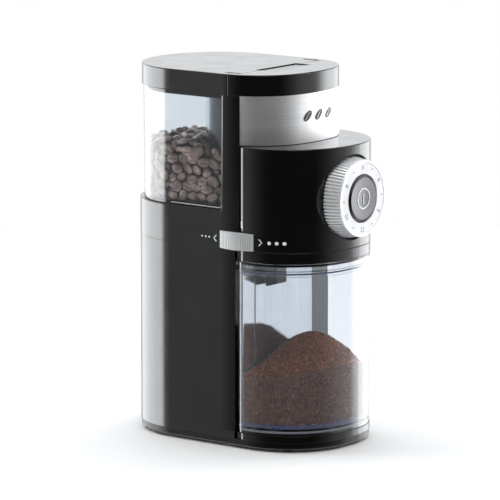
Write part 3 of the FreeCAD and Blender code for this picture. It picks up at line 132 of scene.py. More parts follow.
def make_world():
    """White for the camera; for every other ray a studio that depends on direction only."""
    world = bpy.data.worlds.new("studio")
    bpy.context.scene.world = world
    world.use_nodes = True
    tree = world.node_tree
    tree.nodes.clear()
    coords = tree.nodes.new("ShaderNodeTexCoord")
    split = tree.nodes.new("ShaderNodeSeparateXYZ")
    tree.links.new(coords.outputs["Generated"], split.inputs["Vector"])
    dot = tree.nodes.new("ShaderNodeVectorMath")
    dot.operation = "DOT_PRODUCT"
    dot.inputs[1].default_value = (math.cos(REAR_AZIMUTH), math.sin(REAR_AZIMUTH), 0.0)
    tree.links.new(coords.outputs["Generated"], dot.inputs[0])
    level = map_range(tree, dot.outputs["Value"], -0.85, 0.15, DARK_SIDE, REAR_GLOW)
    azimuth = combine(tree, "ARCTAN2", split.outputs["Y"], split.outputs["X"])
    path = tree.nodes.new("ShaderNodeLightPath")
    scattered = map_range(tree, path.outputs["Diffuse Depth"], 0.0, 1.0, 0.0, 1.0)
    high_top = map_range(tree, split.outputs["Z"], 0.5, 0.75, 1.0, 0.0)
    low_top = map_range(tree, split.outputs["Z"], 0.04, 0.22, 1.0, 0.0)
    top_edge = combine(tree, "MAXIMUM", low_top, combine(tree, "MULTIPLY", high_top, scattered))
    low_edge = map_range(tree, split.outputs["Z"], -0.31, -0.22, 0.0, 1.0)
    open_air = map_range(tree, path.outputs["Transmission Depth"], 0.0, 1.0, 1.0, 0.0)
    plain = combine(tree, "MAXIMUM", scattered, open_air)
    behind_glass = map_range(tree, plain, 0.0, 1.0, BOX_BEHIND_GLASS, 1.0)
    height = combine(tree, "MULTIPLY", combine(tree, "MULTIPLY", top_edge, low_edge), behind_glass)
    leftness = map_range(tree, azimuth, math.radians(55.0), math.radians(100.0), 1.0, LEFT_BEHIND_GLASS)
    level = combine(tree, "MULTIPLY", level, combine(tree, "MAXIMUM", leftness, plain))
    for (ends, radiance), soft in ((LEFT_BOX, LEFT_SOFT), (RIGHT_BOX, RIGHT_SOFT)):
        low, high = (math.radians(end) for end in ends)
        rise = map_range(tree, azimuth, low - soft, low + soft, 0.0, 1.0)
        fall = map_range(tree, azimuth, high - soft, high + soft, 1.0, 0.0)
        slope = map_range(tree, azimuth, low, high, radiance[0], radiance[1], smooth=False)
        box = combine(tree, "MULTIPLY", combine(tree, "MULTIPLY", rise, fall), slope)
        level = combine(tree, "ADD", level, combine(tree, "MULTIPLY", box, height))
    lift = map_range(tree, split.outputs["Z"], -0.05, 0.2, 0.0, 0.7)
    behind = map_range(tree, dot.outputs["Value"], 0.3, 0.95, 0.0, 1.0)
    level = combine(tree, "ADD", level, combine(tree, "MULTIPLY", lift, behind))
    around = tree.nodes.new("ShaderNodeBackground")
    around.inputs["Color"].default_value = (0.97, 0.985, 1.0, 1.0)
    tree.links.new(level, around.inputs["Strength"])
    seen = tree.nodes.new("ShaderNodeBackground")
    seen.inputs["Color"].default_value = (1.0, 1.0, 1.0, 1.0)
    mix = tree.nodes.new("ShaderNodeMixShader")
    tree.links.new(path.outputs["Is Camera Ray"], mix.inputs["Fac"])
    tree.links.new(around.outputs["Background"], mix.inputs[1])
    tree.links.new(seen.outputs["Background"], mix.inputs[2])
    output = tree.nodes.new("ShaderNodeOutputWorld")
    tree.links.new(mix.outputs["Shader"], output.inputs["Surface"])


def make_studio():
    bpy.context.scene.view_settings.view_transform = "Standard"
    bpy.context.scene.view_settings.look = "None"
    make_world()
    softbox("light_top", (-0.10, -0.10, 1.25), (0, 0, 0.1), (0.9, 0.9), 1.6)
    softbox("light_front", (-0.80, -1.00, 1.15), (0, 0, 0.12), (0.9, 0.6), 3.5)
    mesh = bpy.data.meshes.new("floor")
    shape = bmesh.new()
    bmesh.ops.create_circle(shape, cap_ends=True, segments=96, radius=FLOOR_RADIUS)
    shape.to_mesh(mesh)
    shape.free()
    floor = bpy.data.objects.new("floor", mesh)
    floor.location = (0, 0, -0.0002)
    bpy.context.scene.collection.objects.link(floor)
    mat, _ = shader("floor_paper", {"Base Color": (0.76, 0.76, 0.76, 1), "Roughness": 0.7})
    floor.data.materials.append(mat)
    floor.visible_glossy = False
    floor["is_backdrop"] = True


# ---------------------------------------------------------------------------
# Material helpers
# ---------------------------------------------------------------------------

def shader(name, sockets):
    mat = bpy.data.materials.new(name)
    mat.use_nodes = True
    bsdf = mat.node_tree.nodes["Principled BSDF"]
    for socket, value in sockets.items():
        bsdf.inputs[socket].default_value = value
    return mat, bsdf


def shades(colour, dark, light=1.0):
    """A darker and a lighter version of a colour."""
    return tuple(c * dark for c in colour), tuple(min(1.0, c * light) for c in colour)


def mix_colours(mat, factor=None, blend="MIX"):
    """Colour mix node as (factor socket, first socket, second socket, result)."""
    node = mat.node_tree.nodes.new("ShaderNodeMix")
    node.data_type = "RGBA"
    node.blend_type = blend
    if factor is not None:
        node.inputs["Factor"].default_value = factor
    return node.inputs["Factor"], node.inputs[6], node.inputs[7], node.outputs[2]


def noise_field(mat, scale, stretch=(1, 1, 1), detail=3.0, roughness=0.5, shift=0.0):
    """Noise in the object's own metres; scale is in cells per metre."""
    tree = mat.node_tree
    coords = tree.nodes.new("ShaderNodeTexCoord")
    mapping = tree.nodes.new("ShaderNodeMapping")
    mapping.inputs["Scale"].default_value = [scale * s for s in stretch]
    mapping.inputs["Location"].default_value = (shift, shift, shift)
    field = tree.nodes.new("ShaderNodeTexNoise")
    field.inputs["Scale"].default_value = 1.0
    field.inputs["Detail"].default_value = detail
    field.inputs["Roughness"].default_value = roughness
    tree.links.new(coords.outputs["Object"], mapping.inputs["Vector"])
    tree.links.new(mapping.outputs["Vector"], field.inputs["Vector"])
    return field.outputs["Fac"]


def cells(mat, scale):
    """Distance inside cells, in the object's own metres; scale is in cells per metre."""
    tree = mat.node_tree
    coords = tree.nodes.new("ShaderNodeTexCoord")
    field = tree.nodes.new("ShaderNodeTexVoronoi")
    field.inputs["Scale"].default_value = scale
    tree.links.new(coords.outputs["Object"], field.inputs["Vector"])
    return field.outputs["Distance"]


def spread(mat, source, socket, low, high, from_low=0.3, from_high=0.7):
    """Map a field onto a shader socket between two values."""
    tree = mat.node_tree
    span = tree.nodes.new("ShaderNodeMapRange")
    span.inputs["From Min"].default_value = from_low
    span.inputs["From Max"].default_value = from_high
    span.inputs["To Min"].default_value = low
    span.inputs["To Max"].default_value = high
    tree.links.new(source, span.inputs["Value"])
    tree.links.new(span.outputs["Result"], socket)


def tones(mat, source, stops, socket=None):
    """Colour ramp over a field; stops are (place, colour)."""
    tree = mat.node_tree
    ramp = tree.nodes.new("ShaderNodeValToRGB")
    elements = ramp.color_ramp.elements
    while len(elements) > len(stops):
        elements.remove(elements[-1])
    while len(elements) < len(stops):
        elements.new(1.0)
    for element, (place, colour) in zip(elements, stops):
        element.position = place
        element.color = (*colour, 1.0)
    tree.links.new(source, ramp.inputs["Fac"])
    if socket is not None:
        tree.links.new(ramp.outputs["Color"], socket)
    return ramp.outputs["Color"]


EDGE_RADIUS = 0.45 * MM


def soft_edges(mat, radius):
    """Normals that round the edges of a moulding by a small radius."""
    tree = mat.node_tree
    rounding = tree.nodes.new("ShaderNodeBevel")
    rounding.samples = 6
    rounding.inputs["Radius"].default_value = radius
    return rounding.outputs["Normal"]


def bump(mat, bsdf, height, strength, distance, under=None):
    """Relief on the shader's normal, on top of the normal given as under."""
    tree = mat.node_tree
    relief = tree.nodes.new("ShaderNodeBump")
    relief.inputs["Strength"].default_value = strength
    relief.inputs["Distance"].default_value = distance
    tree.links.new(height, relief.inputs["Height"])
    if under is not None:
        tree.links.new(under, relief.inputs["Normal"])
    tree.links.new(relief.outputs["Normal"], bsdf.inputs["Normal"])
    return relief.outputs["Normal"]


# ---------------------------------------------------------------------------
# Materials
# ---------------------------------------------------------------------------

def gloss_black(name, low=0.13, high=0.19):
    """Moulded black housing plastic with a polished, faintly uneven skin."""
    mat, bsdf = shader(name, {"Roughness": 0.12, "IOR": 1.5})
    broad = noise_field(mat, 26.0, detail=2.0)
    stops = [(0.3, (0.0018, 0.0018, 0.0019)), (0.7, (0.0032, 0.0032, 0.0034))]
    tones(mat, broad, stops, bsdf.inputs["Base Color"])
    spread(mat, noise_field(mat, 60.0, detail=4.0, shift=3.0), bsdf.inputs["Roughness"], low, high)
    skin = noise_field(mat, 900.0, detail=2.0, shift=7.0)
    bump(mat, bsdf, skin, 0.05, 0.00002, under=soft_edges(mat, EDGE_RADIUS))
    return mat


def textured_plastic(name, colour, roughness=0.5, grain=2600.0, depth=0.00004, gleam=0.5):
    """Moulded plastic with a fine spark-eroded texture."""
    mat, bsdf = shader(name, {"Roughness": roughness, "Specular IOR Level": gleam})
    dark, light = shades(colour, 0.88, 1.08)
    tones(mat, noise_field(mat, 45.0, detail=3.0), [(0.3, dark), (0.7, light)], bsdf.inputs["Base Color"])
    spread(mat, noise_field(mat, 300.0, shift=2.0), bsdf.inputs["Roughness"],
           roughness - 0.06, roughness + 0.06)
    bump(mat, bsdf, noise_field(mat, grain, detail=2.0, shift=5.0), 0.35, depth)
    return mat


def brushed(name, colour, stretch, roughness, metal=1.0):
    """Metal with fine straight brush lines; stretch is large across the lines."""
    mat, bsdf = shader(name, {"Metallic": metal, "Roughness": roughness, "Anisotropic": 0.35})
    lines = noise_field(mat, 1.0, stretch=stretch, detail=4.0, roughness=0.65)
    dark, light = shades(colour, 0.86, 1.10)
    tones(mat, lines, [(0.32, dark), (0.68, light)], bsdf.inputs["Base Color"])
    spread(mat, lines, bsdf.inputs["Roughness"], roughness - 0.07, roughness + 0.08)
    bump(mat, bsdf, lines, 0.16, 0.000004)
    return mat


def machined(name, colour, roughness=0.3):
    """Turned or ground metal with fine level marks."""
    mat, bsdf = shader(name, {"Metallic": 1.0, "Roughness": roughness})
    marks = noise_field(mat, 1.0, stretch=(700.0, 700.0, 2400.0), detail=3.0)
    dark, light = shades(colour, 0.8)
    tones(mat, marks, [(0.3, dark), (0.7, light)], bsdf.inputs["Base Color"])
    spread(mat, noise_field(mat, 90.0, shift=4.0), bsdf.inputs["Roughness"],
           roughness - 0.08, roughness + 0.12)
    bump(mat, bsdf, marks, 0.2, 0.00002)
    return mat


def clear_plastic(name, skin, tint):
    """Clear moulded styrene: refracting walls, a faint cool tint in thick places."""
    mat, bsdf = shader(name, {"Base Color": (*skin, 1.0), "Roughness": 0.012, "IOR": 1.49,
                              "Transmission Weight": 1.0, "Specular IOR Level": 0.5})
    tree = mat.node_tree
    absorb = tree.nodes.new("ShaderNodeVolumeAbsorption")
    absorb.inputs["Color"].default_value = (*tint, 1.0)
    absorb.inputs["Density"].default_value = 9.0
    tree.links.new(absorb.outputs["Volume"], tree.nodes["Material Output"].inputs["Volume"])
    bump(mat, bsdf, noise_field(mat, 45.0, detail=1.0), 0.04, 0.0001)
    return mat


def roasted(name):
    """Oily roasted coffee bean: brown with darker patches, a soft sheen, and painted shade in the gaps between
    beans.
    """
    mat, bsdf = shader(name, {"Roughness": 0.36, "Coat Weight": 0.7, "Coat Roughness": 0.2})
    tree = mat.node_tree
    each = noise_field(mat, 120.0, detail=1.0)
    skin = tones(mat, each, [(0.30, (0.190, 0.118, 0.092)), (0.50, (0.370, 0.250, 0.205)),
                             (0.70, (0.640, 0.480, 0.400))])
    # Painted shade: ambient occlusion mixes the colour towards near black in the gaps and hollows between
    # beans.
    painted_shade_ao = tree.nodes.new("ShaderNodeAmbientOcclusion")
    painted_shade_ao.samples = 8
    painted_shade_ao.only_local = True
    painted_shade_ao.inputs["Distance"].default_value = 4.0 * MM
    factor, gap, back, shaded = mix_colours(mat)
    # Near-black colour of the painted shade between beans.
    gap.default_value = (0.010, 0.005, 0.004, 1.0)
    spread(mat, painted_shade_ao.outputs["AO"], factor, 0.0, 1.0, 0.18, 0.80)
    tree.links.new(skin, back)
    tree.links.new(shaded, bsdf.inputs["Base Color"])
    spread(mat, noise_field(mat, 500.0, shift=1.0), bsdf.inputs["Roughness"], 0.28, 0.5)
    bump(mat, bsdf, noise_field(mat, 1400.0, detail=4.0, shift=2.0), 0.35, 0.00012)
    return mat


def grounds(name, specks=True):
    """Ground coffee: red-brown on top, with painted shade that darkens and greys the sides pressed against the
    wall.
    """
    mat, bsdf = shader(name, {"Roughness": 0.85, "Specular IOR Level": 0.3})
    tree = mat.node_tree
    crumbs = cells(mat, 1100.0)
    soft = noise_field(mat, 520.0, detail=5.0, roughness=0.75)
    base = tones(mat, soft, [(0.30, (0.040, 0.010, 0.005)), (0.48, (0.340, 0.082, 0.032)),
                             (0.64, (0.860, 0.260, 0.108))])
    grain = tones(mat, crumbs, [(0.0, (1.25, 1.2, 1.15)), (0.8, (0.45, 0.42, 0.4))])
    _, first, second, colour = mix_colours(mat, 0.85, "MULTIPLY")
    tree.links.new(base, first)
    tree.links.new(grain, second)
    if specks:
        factor, first, second, speckled = mix_colours(mat)
        second.default_value = (0.52, 0.30, 0.17, 1.0)
        rare = noise_field(mat, 950.0, detail=1.0, shift=9.0)
        spread(mat, rare, factor, 0.0, 0.9, 0.68, 0.73)
        tree.links.new(colour, first)
        colour = speckled
    # Painted shade: the colour is multiplied darker and blue-grey where the surface faces sideways, and kept
    # where it faces up.
    form = tree.nodes.new("ShaderNodeNewGeometry")
    upright = tree.nodes.new("ShaderNodeSeparateXYZ")
    tree.links.new(form.outputs["Normal"], upright.inputs["Vector"])
    factor, first, second, painted_side_shade = mix_colours(mat, blend="MULTIPLY")
    second.default_value = (0.35, 0.49, 0.64, 1.0)
    spread(mat, upright.outputs["Z"], factor, 1.0, 0.0, 0.15, 0.50)
    tree.links.new(colour, first)
    tree.links.new(painted_side_shade, bsdf.inputs["Base Color"])
    broad_relief = bump(mat, bsdf, soft, 0.9, 0.0009)
    bump(mat, bsdf, crumbs, 0.7, 0.0004, under=broad_relief)
    return mat


def painted_silver(name, colour=(0.88, 0.89, 0.90), roughness=0.38):
    """Silver paint with fine flakes under a thin clear coat."""
    mat, bsdf = shader(name, {"Metallic": 0.55, "Roughness": roughness, "Coat Weight": 0.2})
    flakes = noise_field(mat, 3200.0, detail=2.0)
    dark, light = shades(colour, 0.9, 1.08)
    tones(mat, flakes, [(0.35, dark), (0.65, light)], bsdf.inputs["Base Color"])
    spread(mat, noise_field(mat, 120.0, shift=3.0), bsdf.inputs["Roughness"],
           roughness - 0.05, roughness + 0.07)
    bump(mat, bsdf, flakes, 0.08, 0.00002)
    return mat


def flat_ink(name, colour, roughness=0.45):
    """Printed ink or a small dull grain, nearly even in colour."""
    mat, bsdf = shader(name, {"Roughness": roughness})
    dark, light = shades(colour, 0.9)
    tones(mat, noise_field(mat, 800.0), [(0.3, dark), (0.7, light)], bsdf.inputs["Base Color"])
    return mat


def rubber(name):
    """Dull black rubber with a fine pebbled skin."""
    mat, bsdf = shader(name, {"Roughness": 0.75, "Specular IOR Level": 0.3})
    tones(mat, noise_field(mat, 150.0), [(0.3, (0.012, 0.012, 0.012)), (0.7, (0.022, 0.022, 0.022))],
          bsdf.inputs["Base Color"])
    bump(mat, bsdf, noise_field(mat, 1800.0, shift=2.0), 0.5, 0.00006)
    return mat


def make_materials():
    """Every finish by name, for the CAD nodes and for the pieces that share them."""
    along_level = (9.0, 9.0, 7000.0)
    along_height = (2600.0, 2600.0, 14.0)
    even = (1500.0, 1500.0, 1500.0)
    return {
        "black_gloss": gloss_black("housing_black"),
        "black_lid": gloss_black("lid_black", 0.15, 0.20),
        "black_satin": textured_plastic("satin_black", (0.004, 0.004, 0.0045), 0.34, gleam=0.22),
        "black_inner": textured_plastic("inner_black", (0.008, 0.008, 0.009), 0.45),
        "band_steel": brushed("band_brushed_steel", (0.86, 0.86, 0.86), along_level, 0.40, metal=0.85),
        "liner_steel": brushed("liner_satin_steel", (0.90, 0.93, 0.93), along_height, 0.10),
        "clear": clear_plastic("container_clear", (0.90, 0.92, 0.935), (0.30, 0.30, 0.93)),
        "clear_hopper": clear_plastic("hopper_clear", (0.86, 0.89, 0.92), (0.45, 0.60, 0.98)),
        "silver": painted_silver("dial_silver"),
        "button": brushed("button_satin", (0.125, 0.125, 0.13), even, 0.22),
        "dial_white": textured_plastic("dial_white", (0.80, 0.80, 0.81), 0.42, 1800.0, 0.00001),
        "grip_grey": textured_plastic("grip_light_grey", (0.50, 0.51, 0.51), 0.45, 1500.0, 0.00003),
        "inner_grey": textured_plastic("inner_grey", (0.33, 0.34, 0.36), 0.45),
        "rubber": rubber("rubber_black"),
        "steel": machined("machined_steel", (0.60, 0.61, 0.63)),
        "burr_steel": machined("burr_steel", (0.42, 0.42, 0.44), 0.38),
        "brass": machined("bearing_brass", (0.70, 0.50, 0.22), 0.3),
        "magnet": textured_plastic("magnet_ferrite", (0.05, 0.05, 0.055), 0.6),
        "windings": machined("lacquered_windings", (0.55, 0.25, 0.10), 0.32),
        "board": textured_plastic("board_green", (0.02, 0.16, 0.06), 0.35),
    }


NODE_FINISH = {
    "base_plate": "black_satin", "rubber_feet": "rubber", "base_screws": "steel", "cord_gland": "rubber",
    "cord_clamp": "black_inner", "lower_housing": "black_gloss", "bay_liner": "liner_steel",
    "upper_housing": "black_gloss", "front_housing": "black_gloss", "drum_underside": "black_gloss",
    "steel_band": "band_steel", "top_cap": "black_lid", "gear_plate": "steel", "gear_plate_screws": "steel",
    "motor_can": "steel", "motor_magnets": "magnet", "motor_end_cap": "black_inner", "motor_screws": "steel",
    "motor_mount_rings": "rubber", "lower_bearing": "brass", "upper_bearing": "brass",
    "grinding_chamber": "black_inner", "chamber_screws": "steel", "discharge_chute": "black_inner",
    "retaining_ring": "inner_grey", "retaining_screws": "steel", "dose_timer": "inner_grey",
    "timer_screws": "steel", "start_switch": "black_inner", "control_board": "board",
    "board_components": "black_inner", "hopper_switch": "black_inner", "container_switch": "black_inner",
    "button_spring": "steel", "hopper_bowl": "clear_hopper", "hopper_lid": "black_lid", "lid_seal": "rubber",
    "container_bowl": "clear", "container_lid": "clear", "lid_spout": "black_inner", "dial_knob": "silver",
    "dial_face": "dial_white", "dial_shaft": "inner_grey", "start_button": "button", "slider_grip": "grip_grey",
    "adjuster_rack": "inner_grey", "adjusting_ring": "inner_grey", "burr_carrier": "inner_grey",
    "upper_burr": "burr_steel", "upper_burr_screws": "steel", "burr_spindle": "steel", "burr_hub": "inner_grey",
    "lower_burr": "burr_steel", "hub_nut": "steel", "output_gear": "inner_grey", "motor_shaft": "steel",
    "motor_armature": "windings", "motor_commutator": "brass", "cooling_fan": "inner_grey",
    "motor_pinion": "brass",
}


def dress_nodes(made):
    """Give every CAD node its finish."""
    for node, finish in NODE_FINISH.items():
        mesh = NODES[node].data
        mesh.materials.clear()
        mesh.materials.append(made[finish])


# ---------------------------------------------------------------------------
# Geometry helpers
# ---------------------------------------------------------------------------

def join_rings(shape, rings):
    """Quads between each closed ring of vertices and the next."""
    for first, second in zip(rings, rings[1:]):
        count = len(first)
        for index in range(count):
            after = (index + 1) % count
            shape.faces.new((first[index], first[after], second[after], second[index]))


def add_piece(name, shape, mat, body, smooth=True):
    """Object from a mesh in the making, riding on a CAD body."""
    mesh = bpy.data.meshes.new(name)
    shape.normal_update()
    shape.to_mesh(mesh)
    shape.free()
    for face in mesh.polygons:
        face.use_smooth = smooth
    mesh.materials.append(mat)
    piece = bpy.data.objects.new(name, mesh)
    bpy.context.scene.collection.objects.link(piece)
    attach(piece, body)
    return piece


def end_outline(half_width, y_side, corner, reach, sign, inset, steps):
    """Half plan outline from the +X side over one rounded end to the -X side."""
    centre_x = half_width - corner
    centre_y = y_side - sign * math.sqrt((reach - corner) ** 2 - centre_x ** 2)
    turn = math.atan2(sign * (y_side - centre_y), centre_x)
    points = []
    for step in range(steps + 1):
        angle = turn * step / steps
        radius = corner - inset
        points.append((centre_x + radius * math.cos(angle), y_side + sign * radius * math.sin(angle)))
    for step in range(1, steps):
        angle = turn + (math.pi / 2 - turn) * step / steps
        radius = reach - inset
        points.append((radius * math.cos(angle), centre_y + sign * radius * math.sin(angle)))
    mirrored = [(-x, y) for x, y in reversed(points)]
    tip = (0.0, centre_y + sign * (reach - inset))
    return points + [tip] + mirrored


# ---------------------------------------------------------------------------
# Coffee beans in the hopper
# ---------------------------------------------------------------------------

HOPPER_HALF = 51.0 * MM
HOPPER_SIDE_Y = 31.8 * MM
HOPPER_CORNER = 45.7 * MM
HOPPER_REACH = 107.0 * MM
HOPPER_WALL = 2.0 * MM
BULGE_RADIUS = 42.3 * MM
BULGE_Y = -13.0 * MM
BEAN_HALF = Vector((4.5, 3.35, 2.6)) * MM
BEAN_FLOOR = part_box("hopper_bowl")[1][2] - 0.0742
BEAN_LEVEL = BEAN_FLOOR + 0.0370
BEAN_PITCH = 8.5 * MM
BEAN_ROW = 5.9 * MM
BEAN_FRONT = -7.0 * MM


def bean_shape(rings=11, sides=18):
    """One bean as (vertices, faces): domed back, flatter belly with a curved crease."""
    points = []
    for ring in range(1, rings):
        along = -math.cos(math.pi * ring / rings)
        girth = math.sqrt(max(0.0, 1 - along * along)) ** 0.9
        for side in range(sides):
            u = -1 + 2.0 * side / sides
            angle = math.copysign(abs(u) ** 1.5, u) * math.pi - math.pi / 2
            y = girth * math.cos(angle)
            z = girth * math.sin(angle)
            if z < 0:
                z *= 0.62
                sway = 0.10 * math.sin(2.6 * along)
                crease = math.exp(-((y - sway) / 0.10) ** 2)
                z += 0.42 * crease * girth
            points.append(Vector((along * BEAN_HALF.x, y * BEAN_HALF.y, z * BEAN_HALF.z)))
    faces = []
    for ring in range(rings - 2):
        for side in range(sides):
            a = ring * sides + side
            b = ring * sides + (side + 1) % sides
            faces.append((a, b, b + sides, a + sides))
    points.append(Vector((-BEAN_HALF.x, 0, 0)))
    points.append(Vector((BEAN_HALF.x, 0, 0)))
    low = len(points) - 2
    high = len(points) - 1
    last = (rings - 2) * sides
    for side in range(sides):
        faces.append((low, (side + 1) % sides, side))
        faces.append((high, last + side, last + (side + 1) % sides))
    return points, faces


def wall_stations(inset, spacing):
    """Points on the hopper's wall path, with the inward direction, evenly spaced."""
    rear = end_outline(HOPPER_HALF, HOPPER_SIDE_Y, HOPPER_CORNER, HOPPER_REACH, 1.0, inset, 14)
    side_front = -8.0 * MM
    path = [(HOPPER_HALF - inset, side_front)] + rear + [(-(HOPPER_HALF - inset), side_front)]
    stations = []
    carried = 0.0
    for (x0, y0), (x1, y1) in zip(path, path[1:]):
        length = math.hypot(x1 - x0, y1 - y0)
        if length < 1e-6:
            continue
        place = carried
        while place < length:
            share = place / length
            inward = Vector((-(y1 - y0), x1 - x0, 0)).normalized()
            stations.append((Vector((x0 + (x1 - x0) * share, y0 + (y1 - y0) * share, 0)), inward))
            place += spacing
        carried = place - length
    return stations


def inside_hopper(x, y, inset):
    """Whether a point is inside the hopper's wall, clear of the column, by an inset."""
    if math.hypot(x, y - BULGE_Y) < BULGE_RADIUS + inset * 0.6:
        return False
    if abs(x) > HOPPER_HALF - inset or y < -9.0 * MM:
        return False
    rear = end_outline(HOPPER_HALF, HOPPER_SIDE_Y, HOPPER_CORNER, HOPPER_REACH, 1.0, inset, 14)
    if y <= HOPPER_SIDE_Y:
        return True
    for (x0, y0), (x1, y1) in zip(rear, rear[1:]):
        if min(x0, x1) <= x <= max(x0, x1):
            share = (x - x0) / (x1 - x0) if abs(x1 - x0) > 1e-9 else 0.0
            return y <= y0 + (y1 - y0) * share
    return False


def make_beans(mat):
    """Three layers of beans along the wall and two on top, around a plain core."""
    rng = random.Random(41)
    shape_points, shape_faces = bean_shape()
    shape = bmesh.new()

    def put(at, turn):
        size = rng.uniform(0.86, 1.08)
        placed = Matrix.Translation(at) @ turn.to_4x4() @ Matrix.Scale(size, 4)
        made = [shape.verts.new(placed @ p) for p in shape_points]
        for face in shape_faces:
            shape.faces.new([made[i] for i in face])

    def turned(inward, tilt):
        """Belly or back towards the wall, long axis roughly level in the wall's plane."""
        frame_z = inward if rng.random() < 0.6 else -inward
        frame_x = Vector((0, 0, 1)).cross(frame_z).normalized()
        frame_y = frame_z.cross(frame_x)
        base = Matrix((frame_x, frame_y, frame_z)).transposed()
        spin = Matrix.Rotation(rng.gauss(0.0, 0.55), 3, "Z")
        lean = Euler((rng.uniform(-tilt, tilt), rng.uniform(-tilt, tilt), 0)).to_matrix()
        return base @ lean @ spin

    for layer, depth in enumerate((2.6, 6.6, 11.0)):
        tilt = 0.30 + 0.35 * layer
        row = 0
        z = BEAN_FLOOR + 3.4 * MM
        while z < BEAN_LEVEL + 0.5 * MM:
            inset = HOPPER_WALL + depth * MM
            for at, inward in wall_stations(inset, BEAN_PITCH):
                jitter = inward.cross(Vector((0, 0, 1))) * rng.uniform(-1.3, 1.3) * MM
                jitter += jitter.normalized() * (4.2 * MM if row % 2 else 0.0)
                lift = rng.uniform(-1.0, 1.0) * MM
                spot = at + jitter + inward * rng.uniform(0.0, 0.9) * MM
                spot.y = max(spot.y, BEAN_FRONT)
                put(Vector((spot.x, spot.y, z + lift)), turned(inward, tilt))
            z += BEAN_ROW
            row += 1
    for layer in range(2):
        step = 8.2 * MM
        rows = int(0.14 / step)
        for i in range(-rows, rows):
            for j in range(-rows, rows):
                x = (i + 0.5 * (j % 2)) * step + rng.uniform(-1.5, 1.5) * MM
                y = j * step * 0.87 + rng.uniform(-1.5, 1.5) * MM
                if not inside_hopper(x, y, 6.0 * MM):
                    continue
                heave = 1.5 * MM * noise.noise(Vector((x * 60, y * 60, 4.0)))
                z = BEAN_LEVEL - layer * 3.9 * MM + heave + rng.uniform(-0.8, 0.8) * MM
                lean = Euler((rng.uniform(-0.5, 0.5), rng.uniform(-0.5, 0.5), rng.uniform(0, math.tau)))
                flip = Matrix.Rotation(math.pi if rng.random() < 0.5 else 0.0, 3, "X")
                put(Vector((x, y, z)), lean.to_matrix() @ flip)
    bmesh.ops.recalc_face_normals(shape, faces=shape.faces)
    beans = add_piece("coffee_beans", shape, mat, "bean_hopper")

    core = bmesh.new()
    inset = HOPPER_WALL + 12.0 * MM
    rear = end_outline(HOPPER_HALF, HOPPER_SIDE_Y, HOPPER_CORNER, HOPPER_REACH, 1.0, inset, 10)
    ring = [(x, max(y, 31.0 * MM)) for x, y in rear]
    reach = BULGE_RADIUS + 3 * MM
    for angle in range(150, 29, -15):
        a = math.radians(angle)
        ring.append((reach * math.cos(a), BULGE_Y + reach * math.sin(a)))
    low = [core.verts.new((x, y, BEAN_FLOOR + 1.0 * MM)) for x, y in ring]
    high = [core.verts.new((x, y, BEAN_LEVEL - 8.0 * MM)) for x, y in ring]
    join_rings(core, [low, high])
    core.faces.new(high)
    core.faces.new(list(reversed(low)))
    bmesh.ops.recalc_face_normals(core, faces=core.faces)
    inner = add_piece("bean_core", core, mat, "bean_hopper", smooth=False)


# ---------------------------------------------------------------------------
# Ground coffee in the container
# ---------------------------------------------------------------------------

CONTAINER_HALF = 50.0 * MM
CONTAINER_SIDE_Y = -34.0 * MM
CONTAINER_CORNER = 45.3 * MM
CONTAINER_REACH = 127.9 * MM
PILE_CENTRE = Vector((0.0, -50.0, 0)) * MM
PILE_PEAK = 74.0 * MM
PILE_DROP = 24.0 * MM
PILE_FLOOR = 15.5 * MM
CRUMBS = 2600
CRUMB_CORNERS = 12
WALL_CRUMBS = 190


def pile_height(x, y):
    """Top of the heap of ground coffee, with its lumps."""
    reach = math.hypot(x - PILE_CENTRE.x, y - PILE_CENTRE.y)
    lean = 1.0 + 0.35 * max(0.0, (x - y * 0.5 - 25 * MM) / (40 * MM))
    height = PILE_PEAK - PILE_DROP * lean * (1 - math.exp(-(reach / (29 * MM)) ** 2))
    point = Vector((x, y, 0.0))
    height += 1.6 * MM * noise.noise(point * 70)
    height += 0.9 * MM * noise.noise(point * 210 + Vector((3, 1, 2)))
    height += 0.5 * MM * noise.noise(point * 620 + Vector((7, 4, 1)))
    return height


def container_ring(inset):
    """Plan outline of the container's inner wall; a negative inset lies in the wall."""
    back = -27.6 * MM - inset
    front = end_outline(CONTAINER_HALF, CONTAINER_SIDE_Y, CONTAINER_CORNER, CONTAINER_REACH, -1.0, inset, 26)
    half = CONTAINER_HALF - inset
    corner = 2.2 * MM
    centre = half - corner
    ring = list(front)
    for step in range(5):
        angle = math.pi - math.pi / 2 * step / 4
        ring.append((-centre + corner * math.cos(angle), back - corner + corner * math.sin(angle)))
    across = 40
    for step in range(1, across):
        ring.append((-centre + 2 * centre * step / across, back))
    for step in range(5):
        angle = math.pi / 2 - math.pi / 2 * step / 4
        ring.append((centre + corner * math.cos(angle), back - corner + corner * math.sin(angle)))
    return ring


